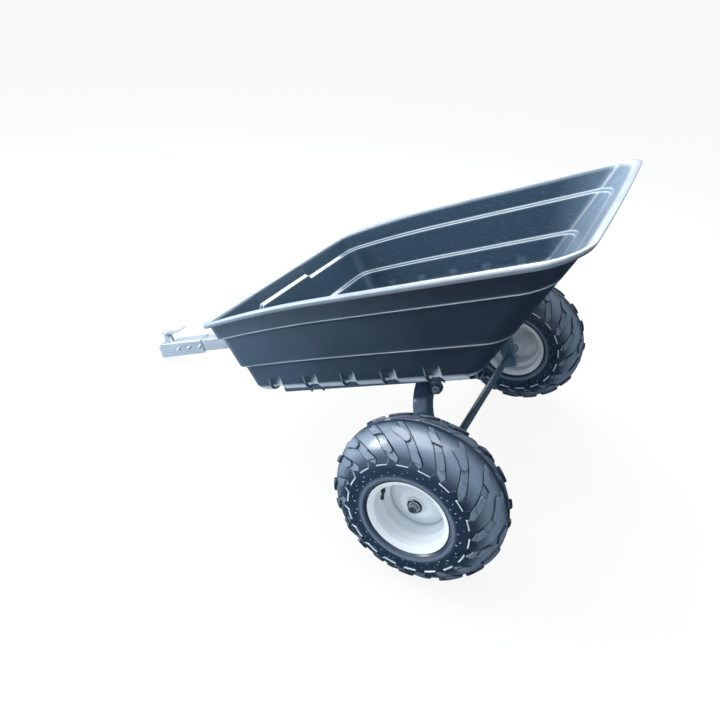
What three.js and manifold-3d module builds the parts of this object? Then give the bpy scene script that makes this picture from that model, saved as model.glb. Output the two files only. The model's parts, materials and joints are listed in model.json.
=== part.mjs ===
// Two-wheeled poly dump cart for towing: stepped plastic tub on a tipping rail frame,
// bent-tube axle hoop, cranked drawbar, ball coupler and knobbly balloon tyres.
//
// Millimetres. The chassis group is drawn level: origin at the axle centre, +X to the rear,
// +Y to the cart's right, +Z up. The whole cart then leans nose-down until the coupler
// touches the ground, as a two-wheeled cart parks, and stands on Z = 0.

import * as THREE from 'three';
import { mergeVertices } from 'three/addons/utils/BufferGeometryUtils.js';
import Module from 'manifold-3d';

const wasm = await Module();
wasm.setup();

// ---------------------------------------------------------------- driving dimensions

const SEAT = 0.3;              // gap left between pieces that rest on each other
const RUN = 0.3;               // radial clearance of turning pieces
const HOLE = 0.35;             // radial clearance of a bolt in its hole

// wheels
const TYRE_R = 250;            // 20 inch tyre, over the lugs
const TYRE_HALF = 99;          // half section width
const TYRE_BELLY = 140;        // widest point of the section above the axle
const LUG_H = 11;              // tread depth
const LUGS = 18;               // lugs on each side of the tread
const SEAT_R = 101.5;          // 8 inch rim, at the bead seats
const FLANGE = 13.5;           // height of its flanges
const RIM_HALF = 91;           // half width over the flanges
const RIM_SHEET = 3;
const TRACK = 1038;
const HUB_R = 26;
const HUB_IN = 90;             // hub end beyond the wheel's middle plane, towards the cart
const HUB_OUT = 37;            // and away from it
const BEARING_W = 16;
const BEARING_WALL = 7.5;
const AXLE_R = 12.5;

// axle hoop: one bent square tube
const TUBE = 45;
const TUBE_WALL = 3;
const TUBE_ROUND = 6;
const HOOP_TOP = 258;          // top of its cross bar above the axle
const LEG_GAP = 24;            // between its legs and the tyres
const HOOP_BEND = 110;         // outer bend radius
const LEG_BELOW = 40;          // legs run on below the axle

// tipping rail frame under the tub
const RAIL = 40;               // square tube
const RAIL_WALL = 2.5;
const RAIL_Y = 330;            // rail centre lines
const RAIL_FRONT = -461;
const RAIL_REAR = 178;
const CROSS_FRONT_X = -396;
const CROSS_REAR_X = 140;

// tub
const WALL = 5;
const TUB_DEPTH = 282;         // underside of the floor to the top of the rim
const RIM_FRONT = -590;        // wall lines at rim height
const RIM_REAR = 531;
const RIM_MID = 470;           // half width at the axle
const PLAN_TAPER = 0.038;      // the tub widens to the rear
const SHEER = 0.017;           // and its rim rises to the rear
const DIP = 25;                // the rim dips towards its front corners
const DIP_FROM = -150;
const SIDE_DRAFT = 0.03;
const FRONT_RAKE = 0.2;
const TAIL_RAKE = 1.16;
const STEP_W = 10;             // ledge width of the two steps
const STEP_DROP = 15;
const STEP_LOW = 94;           // underside of each step above the floor
const STEP_HIGH = 208;
const LIP_W = 17;              // rolled rim
const LIP_DROP = 15;
const CORNER_FRONT = 18;       // plan radii at the rim
const CORNER_REAR = 90;
const CORNER_FRONT_LOW = 30;   // and at the floor
const CORNER_REAR_LOW = 40;
const FLOOR_ROUND = 26;        // radius between wall and floor
const BANDS = 5;               // grooves pressed up into the floor
const BAND_FIRST = -418;
const BAND_PITCH = 130;
const BAND_W = 46;
const BAND_DEPTH = 13;
const BAND_RISE = 46;          // how far they climb the side walls
const FRONT_BAR = 112;         // half length of the raised bar in the front wall
const FRONT_BAR_UP = 14;
const WALL_BOW = 5;            // front and tail walls bow out by this much

// drawbar and coupler
const BAR = 50;                // square tube
const BAR_WALL = 3;
const BAR_RISE = 94;           // crank between its rear and front runs
const CRANK_REAR = -500;
const CRANK_FRONT = -720;
const CRANK_BEND = 130;
const COUPLER_SHEET = 4;
const SKIRT = 4;               // coupler sides reach below the drawbar
const BALL_X = -1284;
const BALL_TO_BAR = 50;        // front end of the drawbar behind the ball
const COUPLER_L = 223;         // rear edge of the coupler behind the ball
const BALL_R = 25;             // 50 mm ball
const COUPLER_BOLT_EDGE = 14;  // first bolt from the rear edge
const COUPLER_BOLT_PITCH = 58;
const COUPLER_BOLTS = 3;
const BALL_TO_PIN = 34;        // lever pin and lock bolt behind the ball
const LEVER_PIN_UP = 32;       // above the coupler's top face
const LEVER_W = 16;
const LEVER_CAM = 9;           // cam radius, lever shut
const LEVER_LIFT = 6;          // how far the open cam pushes the clamp down
const LEVER_OPEN = 80;         // degrees

// gusset plate over the joint of drawbar and hoop
const GUSSET_L = 140;          // ahead of the axle
const GUSSET_HALF = 118;
const GUSSET_T = 6;

// tipping pivot and latch
const PIVOT_X = 42;
const PIVOT_DROP = 28;         // below the rails
const PIVOT_R = 6;
const EAR_T = 8;
const EAR_R = 15;
const LATCH_X = -474;
const LATCH_LOW = 12;          // latch bolt below the drawbar's middle
const LATCH_T = 8;
const LATCH_ARM = 172;         // bolt to the end of the arm
const PEDAL = 36;              // foot pad, along the arm
const PEDAL_W = 70;
const STRIKER_R = 6;
const STRIKER_REACH = 17;      // in front of the cross member
const STRIKER_LOW = 4;         // below the rails
const LATCH_SWING = 30;        // degrees from its open place, drawn here, to over the striker

// fasteners
const BOLT_R = 4;
const HEX = 1.62;              // corner radius of a hex head over the bolt radius
const HEX_H = 0.8;             // its height over the bolt diameter

// ---------------------------------------------------------------- derived places

const RIM_R = SEAT_R + FLANGE;
const HOOP_HALF = TRACK / 2 - TYRE_HALF - LEG_GAP;   // outer faces of the legs
const RAIL_Z0 = HOOP_TOP + SEAT;
const RAIL_Z1 = RAIL_Z0 + RAIL;
const FLOOR = RAIL_Z1 + SEAT;
const BAR_Z = HOOP_TOP - BAR / 2;             // rear run of the drawbar, centre line
const BAR_Z_FRONT = BAR_Z + BAR_RISE;
const PIVOT_Z = RAIL_Z0 - PIVOT_DROP;
const COUPLER_TOP = BAR_Z_FRONT + BAR / 2 + SEAT + COUPLER_SHEET;
const COUPLER_LOW = BAR_Z_FRONT - BAR / 2 - SKIRT;
const SOCKET_R = BALL_R + 1;
const DOME_R = SOCKET_R + COUPLER_SHEET + 1;
const LEVER_PIN_X = BALL_X + BALL_TO_PIN;
const BAR_FRONT = BALL_X + BALL_TO_BAR;
const COUPLER_REAR = BALL_X + COUPLER_L;

// ---------------------------------------------------------------- solid helpers

const solid = (geometry) => {
  const g = geometry.clone();
  g.deleteAttribute('normal');
  g.deleteAttribute('uv');
  const m = mergeVertices(g, 1e-4);
  return new wasm.Manifold(new wasm.Mesh({
    numProp: 3,
    vertProperties: new Float32Array(m.attributes.position.array),
    triVerts: new Uint32Array(m.index.array),
  }));
};
const surface = (manifold) => {
  const mesh = manifold.getMesh();
  const g = new THREE.BufferGeometry();
  g.setAttribute('position', new THREE.BufferAttribute(new Float32Array(mesh.vertProperties), 3));
  g.setIndex(new THREE.BufferAttribute(new Uint32Array(mesh.triVerts), 1));
  g.computeVertexNormals();
  return g;
};
const join = (first, ...rest) => surface(rest.reduce((m, g) => m.add(solid(g)), solid(first)));
const cut = (first, ...rest) => surface(rest.reduce((m, g) => m.subtract(solid(g)), solid(first)));

const at = (geometry, x, y, z) => geometry.clone().translate(x, y, z);
const mirrorY = (geometry) => {
  const g = geometry.clone().scale(1, -1, 1);
  const index = g.index ? Array.from(g.index.array) : [...Array(g.attributes.position.count).keys()];
  for (let i = 0; i < index.length; i += 3) [index[i], index[i + 1]] = [index[i + 1], index[i]];
  g.setIndex(index);
  g.computeVertexNormals();
  return g;
};

const rodX = (r, x0, x1, n = 20) => new THREE.CylinderGeometry(r, r, x1 - x0, n).rotateZ(-Math.PI / 2).translate((x0 + x1) / 2, 0, 0);
const rodY = (r, y0, y1, n = 20) => new THREE.CylinderGeometry(r, r, y1 - y0, n).translate(0, (y0 + y1) / 2, 0);
const rodZ = (r, z0, z1, n = 20) => new THREE.CylinderGeometry(r, r, z1 - z0, n).rotateX(Math.PI / 2).translate(0, 0, (z0 + z1) / 2);
const block = (x0, x1, y0, y1, z0, z1) =>
  new THREE.BoxGeometry(x1 - x0, y1 - y0, z1 - z0).translate((x0 + x1) / 2, (y0 + y1) / 2, (z0 + z1) / 2);

// rounded rectangle about a centre
const roundRect = (w, h, r, path = new THREE.Shape()) => {
  const a = w / 2, b = h / 2;
  path.moveTo(-a + r, -b).lineTo(a - r, -b).absarc(a - r, -b + r, r, -Math.PI / 2, 0)
    .lineTo(a, b - r).absarc(a - r, b - r, r, 0, Math.PI / 2)
    .lineTo(-a + r, b).absarc(-a + r, b - r, r, Math.PI / 2, Math.PI)
    .lineTo(-a, -b + r).absarc(-a + r, -b + r, r, Math.PI, 1.5 * Math.PI);
  return path;
};
const EDGE_STEPS = 2;
// a shape drawn in X-Z, given thickness along Y from y0 to y1
const extrudeY = (shape, y0, y1, bevel = 0, curveSegments = EDGE_STEPS) => {
  const g = new THREE.ExtrudeGeometry(shape, {
    depth: y1 - y0 - 2 * bevel, curveSegments,
    bevelEnabled: bevel > 0, bevelThickness: bevel, bevelSize: bevel, bevelOffset: -bevel, bevelSegments: 1,
  });
  return g.translate(0, 0, bevel).rotateX(Math.PI / 2).translate(0, y1, 0);
};
// a shape drawn in Y-Z, given thickness along X from x0 to x1
const extrudeX = (shape, x0, x1, bevel = 0, curveSegments = EDGE_STEPS) => {
  const g = new THREE.ExtrudeGeometry(shape, {
    depth: x1 - x0 - 2 * bevel, curveSegments,
    bevelEnabled: bevel > 0, bevelThickness: bevel, bevelSize: bevel, bevelOffset: -bevel, bevelSegments: 1,
  });
  return g.translate(0, 0, bevel).rotateX(Math.PI / 2).rotateZ(Math.PI / 2).translate(x0, 0, 0);
};
// straight square tube along X, open at both ends
const tubeX = (size, wall, x0, x1) => {
  const shape = roundRect(size, size, size * 0.14);
  shape.holes.push(roundRect(size - 2 * wall, size - 2 * wall, size * 0.14 - wall * 0.6, new THREE.Path()));
  return extrudeX(shape, x0, x1);
};

// outline points of a planar bar that follows straight runs joined by arcs:
// nodes [[u, v, bend radius at this node], ...]; offset moves the outline to one side
const offsetPath = (nodes, offset, steps = 5) => {
  const out = [];
  nodes.forEach(([u, v, r], i) => {
    const p = new THREE.Vector2(u, v);
    const a = i > 0 ? p.clone().sub(new THREE.Vector2(...nodes[i - 1])).normalize() : null;
    const b = i < nodes.length - 1 ? new THREE.Vector2(...nodes[i + 1]).sub(p).normalize() : null;
    const left = (d) => new THREE.Vector2(-d.y, d.x);
    if (!a || !b) {
      out.push(p.clone().add(left(a || b).multiplyScalar(offset)));
      return;
    }
    const turn = Math.atan2(a.x * b.y - a.y * b.x, a.dot(b));
    const back = r * Math.tan(Math.abs(turn) / 2);
    const start = p.clone().sub(a.clone().multiplyScalar(back));
    const centre = start.clone().add(left(a).multiplyScalar(Math.sign(turn) * r));
    for (let k = 0; k <= steps; k++) {
      const d = start.clone().sub(centre).rotateAround(new THREE.Vector2(), (turn * k) / steps);
      const scale = (r - Math.sign(turn) * offset) / r;
      out.push(centre.clone().add(d.multiplyScalar(scale)));
    }
  });
  return out;
};
const barShape = (nodes, width, steps) =>
  new THREE.Shape([...offsetPath(nodes, width / 2, steps), ...offsetPath(nodes, -width / 2, steps).reverse()]);

// an indexed closed mesh, turned so that its faces point out
const facingOut = (position, index) => {
  const v = (i) => new THREE.Vector3(...position.slice(3 * i, 3 * i + 3));
  let volume = 0;
  for (let i = 0; i < index.length; i += 3) volume += v(index[i]).cross(v(index[i + 1])).dot(v(index[i + 2]));
  if (volume < 0) for (let i = 0; i < index.length; i += 3) [index[i], index[i + 1]] = [index[i + 1], index[i]];
  const g = new THREE.BufferGeometry();
  g.setAttribute('position', new THREE.Float32BufferAttribute(position, 3));
  g.setIndex(index);
  g.computeVertexNormals();
  return g;
};
// revolve [radius, along] points round the Y axis; a ring's outline closes on itself
const latheY = (points, n) => {
  const g = new THREE.LatheGeometry(points.map(([r, y]) => new THREE.Vector2(r, y)), n);
  g.deleteAttribute('normal');
  g.deleteAttribute('uv');
  const m = mergeVertices(g, 1e-4);
  return facingOut(Array.from(m.attributes.position.array), Array.from(m.index.array));
};
const ringY = (r0, r1, y0, y1, n = 16) => latheY([[r0, y0], [r1, y0], [r1, y1], [r0, y1], [r0, y0]], n);
// wire wound on a helix round the Y axis
const coilY = (r, wire, y0, y1, turns) => {
  const run = y1 - y0 - 2 * wire;
  class Helix extends THREE.Curve {
    getPoint(t, p = new THREE.Vector3()) {
      const a = 2 * Math.PI * turns * t;
      return p.set(r * Math.cos(a), y0 + wire + run * t, r * Math.sin(a));
    }
  }
  const section = new THREE.Shape(Array.from({ length: 5 }, (_, k) =>
    new THREE.Vector2(wire * Math.cos((2 * Math.PI * k) / 5), wire * Math.sin((2 * Math.PI * k) / 5))));
  return new THREE.ExtrudeGeometry(section, { steps: Math.round(9 * turns), extrudePath: new Helix(), bevelEnabled: false });
};

// hex-headed bolt with its nut, along Z: head on top of z1, nut under z0, thread runs on
const bolt = (r, z0, z1, tail = r) => {
  const head = 2 * r * HEX_H;
  return join(rodZ(r, z0 - head - tail, z1 + head * 0.5, 8), rodZ(r * HEX, z1, z1 + head, 6), rodZ(r * HEX, z0 - head, z0, 6));
};
const boltY = (r, y0, y1, tail = r) => bolt(r, y0, y1, tail).rotateX(-Math.PI / 2);
// dome-headed carriage bolt with its nut, along Z
const carriageBolt = (r, z0, z1) => {
  const dome = latheY([[0, 0], [2.2 * r, 0], [2 * r, 0.45 * r], [1.1 * r, r], [0, 1.15 * r]], 8).rotateX(Math.PI / 2);
  return join(rodZ(r, z0 - 3 * r, z1 + 0.4 * r, 8), at(dome, 0, 0, z1), rodZ(r * HEX, z0 - 1.6 * r, z0, 6));
};

// ---------------------------------------------------------------- materials

const finish = (color, roughness, metalness = 0) => ({ color, roughness, metalness });
const POLY = finish('#2c3238', 0.5);
const PAINT = finish('#101113', 0.28, 0.2);
const ZINC = finish('#c3c7cf', 0.38, 0.9);
const SILVER = finish('#d3d6da', 0.35, 0.6);
const RUBBER = finish('#1c2024', 0.75);
const STEEL = finish('#9a9ea6', 0.35, 1);
const BLACK_RUBBER = finish('#141414', 0.8);

const chassis = new THREE.Group();
const add = (name, geometry, look, parent = chassis) => {
  const mesh = new THREE.Mesh(geometry, new THREE.MeshStandardMaterial(look));
  mesh.name = name;
  parent.add(mesh);
  return mesh;
};

// ---------------------------------------------------------------- tub

// One row of the tub's wall is a closed outline seen from above. Every row has the same
// stations, so rows stitch into one shell: up the outside, over the rolled rim, down the inside.
const bandCentre = (k) => BAND_FIRST + k * BAND_PITCH;
const bandAt = (x) => {
  for (let k = 0; k < BANDS; k++) {
    const d = Math.abs(x - bandCentre(k)) / (BAND_W / 2);
    if (d < 1) return Math.min(1, 2.2 * (1 - d));
  }
  return 0;
};
const sideStations = () => {
  const xs = [];
  for (let k = 0; k < BANDS; k++) for (const s of [-1, -0.55, 0.55, 1]) xs.push([bandCentre(k) + (s * BAND_W) / 2, s > -1 || k > 2]);
  return xs;
};

// inset of a wall at height h over the floor: the two ledges, and the round into the floor
const ledges = (h) => [STEP_LOW, STEP_HIGH].reduce(
  (sum, low) => sum + THREE.MathUtils.clamp((low + STEP_DROP - h) / STEP_DROP, 0, 1) * STEP_W, 0);
const rimLine = (x) => SHEER * x - DIP * THREE.MathUtils.clamp((DIP_FROM - x) / (DIP_FROM - RIM_FRONT), 0, 1.1) ** 2;
const roundIn = (h, r) => (h < r ? r - Math.sqrt(r * r - (r - h) * (r - h)) : 0);
const ARC = (n, f) => Array.from({ length: n + 1 }, (_, k) => f((Math.PI / 2) * (k / n)));

// points [x, y, z, fine] of one row; the fine ones are only used low down, round the grooves
const row = ({ h, out = 0, skin = 0, bar = 0, grooved = false }) => {
  const r = FLOOR_ROUND - skin * 0.6;
  const up = TUB_DEPTH - h;
  const low = up / TUB_DEPTH;
  const hh = Math.max(0, h - skin);
  const around = ledges(h) + roundIn(hh, r) + skin - out;
  const front = RIM_FRONT + up * FRONT_RAKE + around;
  const rear = RIM_REAR - up * TAIL_RAKE - roundIn(hh, r) - skin * Math.hypot(1, TAIL_RAKE) + out;
  const half = (x) => RIM_MID + PLAN_TAPER * x - up * SIDE_DRAFT - around;
  const rf = THREE.MathUtils.lerp(CORNER_FRONT, CORNER_FRONT_LOW, low) - skin + out;
  const rr = THREE.MathUtils.lerp(CORNER_REAR, CORNER_REAR_LOW, low) - skin + out;
  const yf = half(front + rf) - rf, yr = half(rear - rr) - rr;
  const bow = (y, edge) => WALL_BOW * (1 - (y / edge) ** 2);

  const plan = [
    ...[0, FRONT_BAR - 3, FRONT_BAR + 3].map((y) => [front - bow(y, yf), y, y < FRONT_BAR ? bar : 0]),
    ...ARC(4, (t) => [front + rf * (1 - Math.cos(t)), yf + rf * Math.sin(t), 0]),
    ...sideStations().map(([x, fine]) => [x, half(x), 0, fine]),
    ...ARC(5, (t) => [rear - rr * (1 - Math.sin(t)), yr + rr * Math.cos(t), 0]),
    [rear + bow(0, yr), 0, 0],
  ];
  const fade = THREE.MathUtils.clamp(1 - h / BAND_RISE, 0, 1);
  const upright = Math.min(1, hh / r);             // 0 on the floor, 1 on the wall
  const right = plan.map(([x, y, lift, fine]) => {
    const press = bandAt(x) * BAND_DEPTH * fade;
    return [x, y - (y ? press * upright : 0), FLOOR + h + (rimLine(x) * h) / TUB_DEPTH + lift + press * (1 - upright), fine];
  });
  const left = right.slice(1, -1).reverse().map(([x, y, z, fine]) => [x, -y, z, fine]);
  const ring = [...right, ...left].map((p, key) => ({ p: p.slice(0, 3), key, fine: p[3] }));
  return grooved ? ring : ring.filter((q) => !q.fine);
};

const tubShell = () => {
  const heights = (r) => [0, 0.134 * r, 0.5 * r, r];
  const inner = FLOOR_ROUND - WALL * 0.6;
  const wallRows = (more) => [
    { h: STEP_LOW }, { h: STEP_LOW + STEP_DROP },
    { h: STEP_HIGH, bar: FRONT_BAR_UP }, { h: STEP_HIGH + STEP_DROP, bar: FRONT_BAR_UP }, { h: TUB_DEPTH - WALL },
  ].map((spec) => ({ ...spec, ...more }));
  const rings = [
    ...heights(FLOOR_ROUND).map((h) => ({ h, grooved: true })), { h: BAND_RISE, grooved: true },
    ...wallRows({}),
    { h: TUB_DEPTH - WALL, out: LIP_W - WALL }, { h: TUB_DEPTH - LIP_DROP, out: LIP_W - WALL },
    { h: TUB_DEPTH - LIP_DROP, out: LIP_W }, { h: TUB_DEPTH - WALL, out: LIP_W },
    { h: TUB_DEPTH, out: LIP_W - WALL }, { h: TUB_DEPTH, out: -1 },
    ...wallRows({ skin: WALL }).reverse(),
    { h: BAND_RISE, skin: WALL, grooved: true },
    ...heights(inner).reverse().map((h) => ({ h: h + WALL, skin: WALL, grooved: true })),
  ].map(row);

  const position = [], index = [];
  rings.forEach((ring) => ring.forEach((q) => { q.id = position.length / 3; position.push(...q.p); }));
  // stitch two rings; the points that only one of them has fan out to the other's nearest
  const stitch = (lower, upper) => {
    const [many, few, flip] = lower.length >= upper.length ? [lower, upper, false] : [upper, lower, true];
    const tri = (a, b, c) => index.push(...(flip ? [a, c, b] : [a, b, c]));
    few.forEach((f, i) => {
      const g = few[(i + 1) % few.length];
      const from = many.findIndex((q) => q.key === f.key);
      const run = [];
      for (let k = from; ; k++) { run.push(many[k % many.length]); if (many[k % many.length].key === g.key) break; }
      const mid = Math.floor(run.length / 2);
      for (let k = 0; k + 1 < run.length; k++) tri(run[k].id, run[k + 1].id, k < mid ? f.id : g.id);
      tri(f.id, run[mid].id, g.id);
    });
  };
  for (let i = 0; i + 1 < rings.length; i++) stitch(rings[i], rings[i + 1]);
  // floors: strips between mirrored stations, so the pressed grooves run right across
  const floor = (ring, flip) => {
    const n = ring.length;
    for (let j = 0; j < n / 2; j++) {
      const quad = [j, j + 1, (n - j - 1) % n, (n - j) % n].map((k) => ring[k].id);
      [[0, 1, 2], [0, 2, 3]].map((t) => t.map((k) => quad[k])).filter((t) => new Set(t).size === 3)
        .forEach((t) => index.push(...(flip ? t.reverse() : t)));
    }
  };
  floor(rings[0], true);
  floor(rings[rings.length - 1], false);
  return facingOut(position, index);
};

const tubBoltX = [0.32, 0.66, 3.73].map((k) => BAND_FIRST + BAND_PITCH * k);
const mirrored = (build) => [['left', -1], ['right', 1]].forEach(([side, s]) => build(side, s));
{
  const drills = [];
  mirrored((side, s) => tubBoltX.forEach((x) => drills.push(at(rodZ(BOLT_R + HOLE, FLOOR - 2, FLOOR + WALL + 2, 10), x, s * RAIL_Y, 0))));
  add('tub', cut(tubShell(), ...drills), POLY);
}

// ---------------------------------------------------------------- tipping rail frame

const railMid = RAIL_Z0 + RAIL / 2;
mirrored((side, s) => {
  const drills = tubBoltX.map((x) => at(rodZ(BOLT_R + HOLE, RAIL_Z0 - 5, RAIL_Z1 + 5, 10), x, s * RAIL_Y, 0));
  add(`${side}_rail`, cut(at(tubeX(RAIL, RAIL_WALL, RAIL_FRONT, RAIL_REAR), 0, s * RAIL_Y, railMid), ...drills), PAINT);
  tubBoltX.forEach((x, k) => add(`${side}_tub_bolt_${k + 1}`,
    at(carriageBolt(BOLT_R, RAIL_Z0 - SEAT, FLOOR + WALL + SEAT), x, s * RAIL_Y, 0), ZINC));
});
const crossHalf = RAIL_Y - RAIL / 2 - SEAT;
for (const [name, x] of [['front_cross_member', CROSS_FRONT_X], ['rear_cross_member', CROSS_REAR_X]])
  add(name, at(tubeX(RAIL, RAIL_WALL, -crossHalf, crossHalf).rotateZ(Math.PI / 2), x, 0, railMid), PAINT);

// ears that hang from the rails, clevises on the hoop and the bolts they tip on
const clevisHalf = EAR_T / 2 + RUN;
const CLEVIS_T = 6;
const hoopRear = TUBE / 2;
mirrored((side, s) => {
  const bore = (r) => at(rodY(r, -40, 40, 20), PIVOT_X, s * RAIL_Y, PIVOT_Z);
  const earShape = new THREE.Shape();
  earShape.moveTo(PIVOT_X + EAR_R, RAIL_Z0 - SEAT).lineTo(PIVOT_X - EAR_R, RAIL_Z0 - SEAT)
    .lineTo(PIVOT_X - EAR_R, PIVOT_Z).absarc(PIVOT_X, PIVOT_Z, EAR_R, Math.PI, 2 * Math.PI, false);
  const ear = at(extrudeY(earShape, -EAR_T / 2, EAR_T / 2, 0, 5), 0, s * RAIL_Y, 0);
  add(`${side}_rail_ear`, cut(ear, bore(PIVOT_R + RUN)), PAINT);

  const cheekShape = new THREE.Shape();
  const zLow = HOOP_TOP - TUBE + 4;
  cheekShape.moveTo(hoopRear + SEAT, PIVOT_Z + EAR_R - 3).lineTo(hoopRear + SEAT, zLow)
    .lineTo(PIVOT_X - 6, zLow).lineTo(PIVOT_X + 4, PIVOT_Z - EAR_R + 1.5)
    .absarc(PIVOT_X, PIVOT_Z, EAR_R - 1, -1.2, Math.PI / 2, false);
  const cheek = (y0, y1) => at(extrudeY(cheekShape, y0, y1, 0, 5), 0, s * RAIL_Y, 0);
  const web = block(hoopRear + SEAT, PIVOT_X - EAR_R - 1, s * RAIL_Y - clevisHalf - 1, s * RAIL_Y + clevisHalf + 1, zLow, PIVOT_Z + EAR_R - 3);
  add(`${side}_pivot_bracket`,
    cut(join(cheek(clevisHalf, clevisHalf + CLEVIS_T), cheek(-clevisHalf - CLEVIS_T, -clevisHalf), web), bore(PIVOT_R + HOLE)), PAINT);
  const grip = clevisHalf + CLEVIS_T + SEAT;
  add(`${side}_pivot_bolt`, at(boltY(PIVOT_R, -grip, grip), PIVOT_X, s * RAIL_Y, PIVOT_Z), ZINC);
});

// ---------------------------------------------------------------- axle hoop and axle

const gussetBolts = [[-0.41 * GUSSET_L, 0], [-0.8 * GUSSET_L, 0], [0, -0.61 * GUSSET_HALF], [0, 0.61 * GUSSET_HALF]];     // two into the drawbar, two into the hoop
{
  const y = HOOP_HALF - TUBE / 2, z = HOOP_TOP - TUBE / 2, r = HOOP_BEND - TUBE / 2;
  const line = (low) => [[-y, low], [-y, z, r], [y, z, r], [y, low]];
  const outer = extrudeX(barShape(line(-LEG_BELOW), TUBE), -TUBE / 2, TUBE / 2, TUBE_ROUND);
  const core = TUBE / 2 - TUBE_WALL;
  const inner = extrudeX(barShape(line(-LEG_BELOW - 10), 2 * core), -core, core, TUBE_ROUND - TUBE_WALL);
  add('axle_hoop', cut(outer, inner, rodY(AXLE_R + HOLE, -TRACK, TRACK, 16),
    ...gussetBolts.slice(2).map(([x, y]) => at(rodZ(BOLT_R + HOLE, HOOP_TOP - 60, HOOP_TOP + 10, 10), x, y, 0))), PAINT);
}
const axleHalf = TRACK / 2 + HUB_OUT + 18;
const washerY = TRACK / 2 + HUB_OUT + SEAT;
const WASHER_T = 3;
const COTTER_R = 2;
const cotterY = washerY + WASHER_T + SEAT + COTTER_R;
add('axle', cut(rodY(AXLE_R, -axleHalf, axleHalf, 24),
  ...[-1, 1].map((s) => at(rodZ(COTTER_R + SEAT, -AXLE_R - 5, AXLE_R + 5, 10), 0, s * cotterY, 0))), PAINT);

// ---------------------------------------------------------------- drawbar and gusset

const barRear = -TUBE / 2 - SEAT;
const barLine = (front, rear) => [[front, BAR_Z_FRONT], [CRANK_FRONT, BAR_Z_FRONT, CRANK_BEND], [CRANK_REAR, BAR_Z, CRANK_BEND], [rear, BAR_Z]];
const couplerBoltX = Array.from({ length: COUPLER_BOLTS }, (_, k) => COUPLER_REAR - COUPLER_BOLT_EDGE - k * COUPLER_BOLT_PITCH);
const BAR_ROUND = 6;
{
  const core = BAR / 2 - BAR_WALL;
  const outer = extrudeY(barShape(barLine(BAR_FRONT, barRear), BAR), -BAR / 2, BAR / 2, BAR_ROUND);
  const inner = extrudeY(barShape(barLine(BAR_FRONT - 10, barRear + 10), 2 * core), -core, core, BAR_ROUND - BAR_WALL);
  add('drawbar', cut(outer, inner,
    ...couplerBoltX.map((x) => at(rodY(BOLT_R + HOLE, -40, 40, 10), x, 0, BAR_Z_FRONT)),
    ...gussetBolts.slice(0, 2).map(([x]) => at(rodZ(BOLT_R + HOLE, BAR_Z - 40, BAR_Z + 40, 10), x, 0, 0)),
    at(rodY(BOLT_R + 1 + HOLE, -40, 40, 10), LATCH_X, 0, BAR_Z - LATCH_LOW)), ZINC);
}
{
  const plate = new THREE.Shape([[-GUSSET_L, -BAR / 2], [-GUSSET_L, BAR / 2], [-GUSSET_L / 4, GUSSET_HALF], [TUBE / 2, GUSSET_HALF],
    [TUBE / 2, -GUSSET_HALF], [-GUSSET_L / 4, -GUSSET_HALF]]
    .map(([x, y]) => new THREE.Vector2(x, y)));
  const g = new THREE.ExtrudeGeometry(plate, { depth: GUSSET_T, bevelEnabled: false }).translate(0, 0, HOOP_TOP + SEAT);
  add('gusset_plate', cut(g, ...gussetBolts.map(([x, y]) => at(rodZ(BOLT_R + HOLE, HOOP_TOP - 5, HOOP_TOP + 20, 10), x, y, 0))), ZINC);
  gussetBolts.forEach(([x, y], k) => {
    const under = k < 2 ? HOOP_TOP - BAR : HOOP_TOP - TUBE;
    add(`gusset_bolt_${k + 1}`, at(bolt(BOLT_R, under - SEAT, HOOP_TOP + GUSSET_T + 2 * SEAT), x, y, 0), ZINC);
  });
}

// ---------------------------------------------------------------- ball coupler

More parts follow.
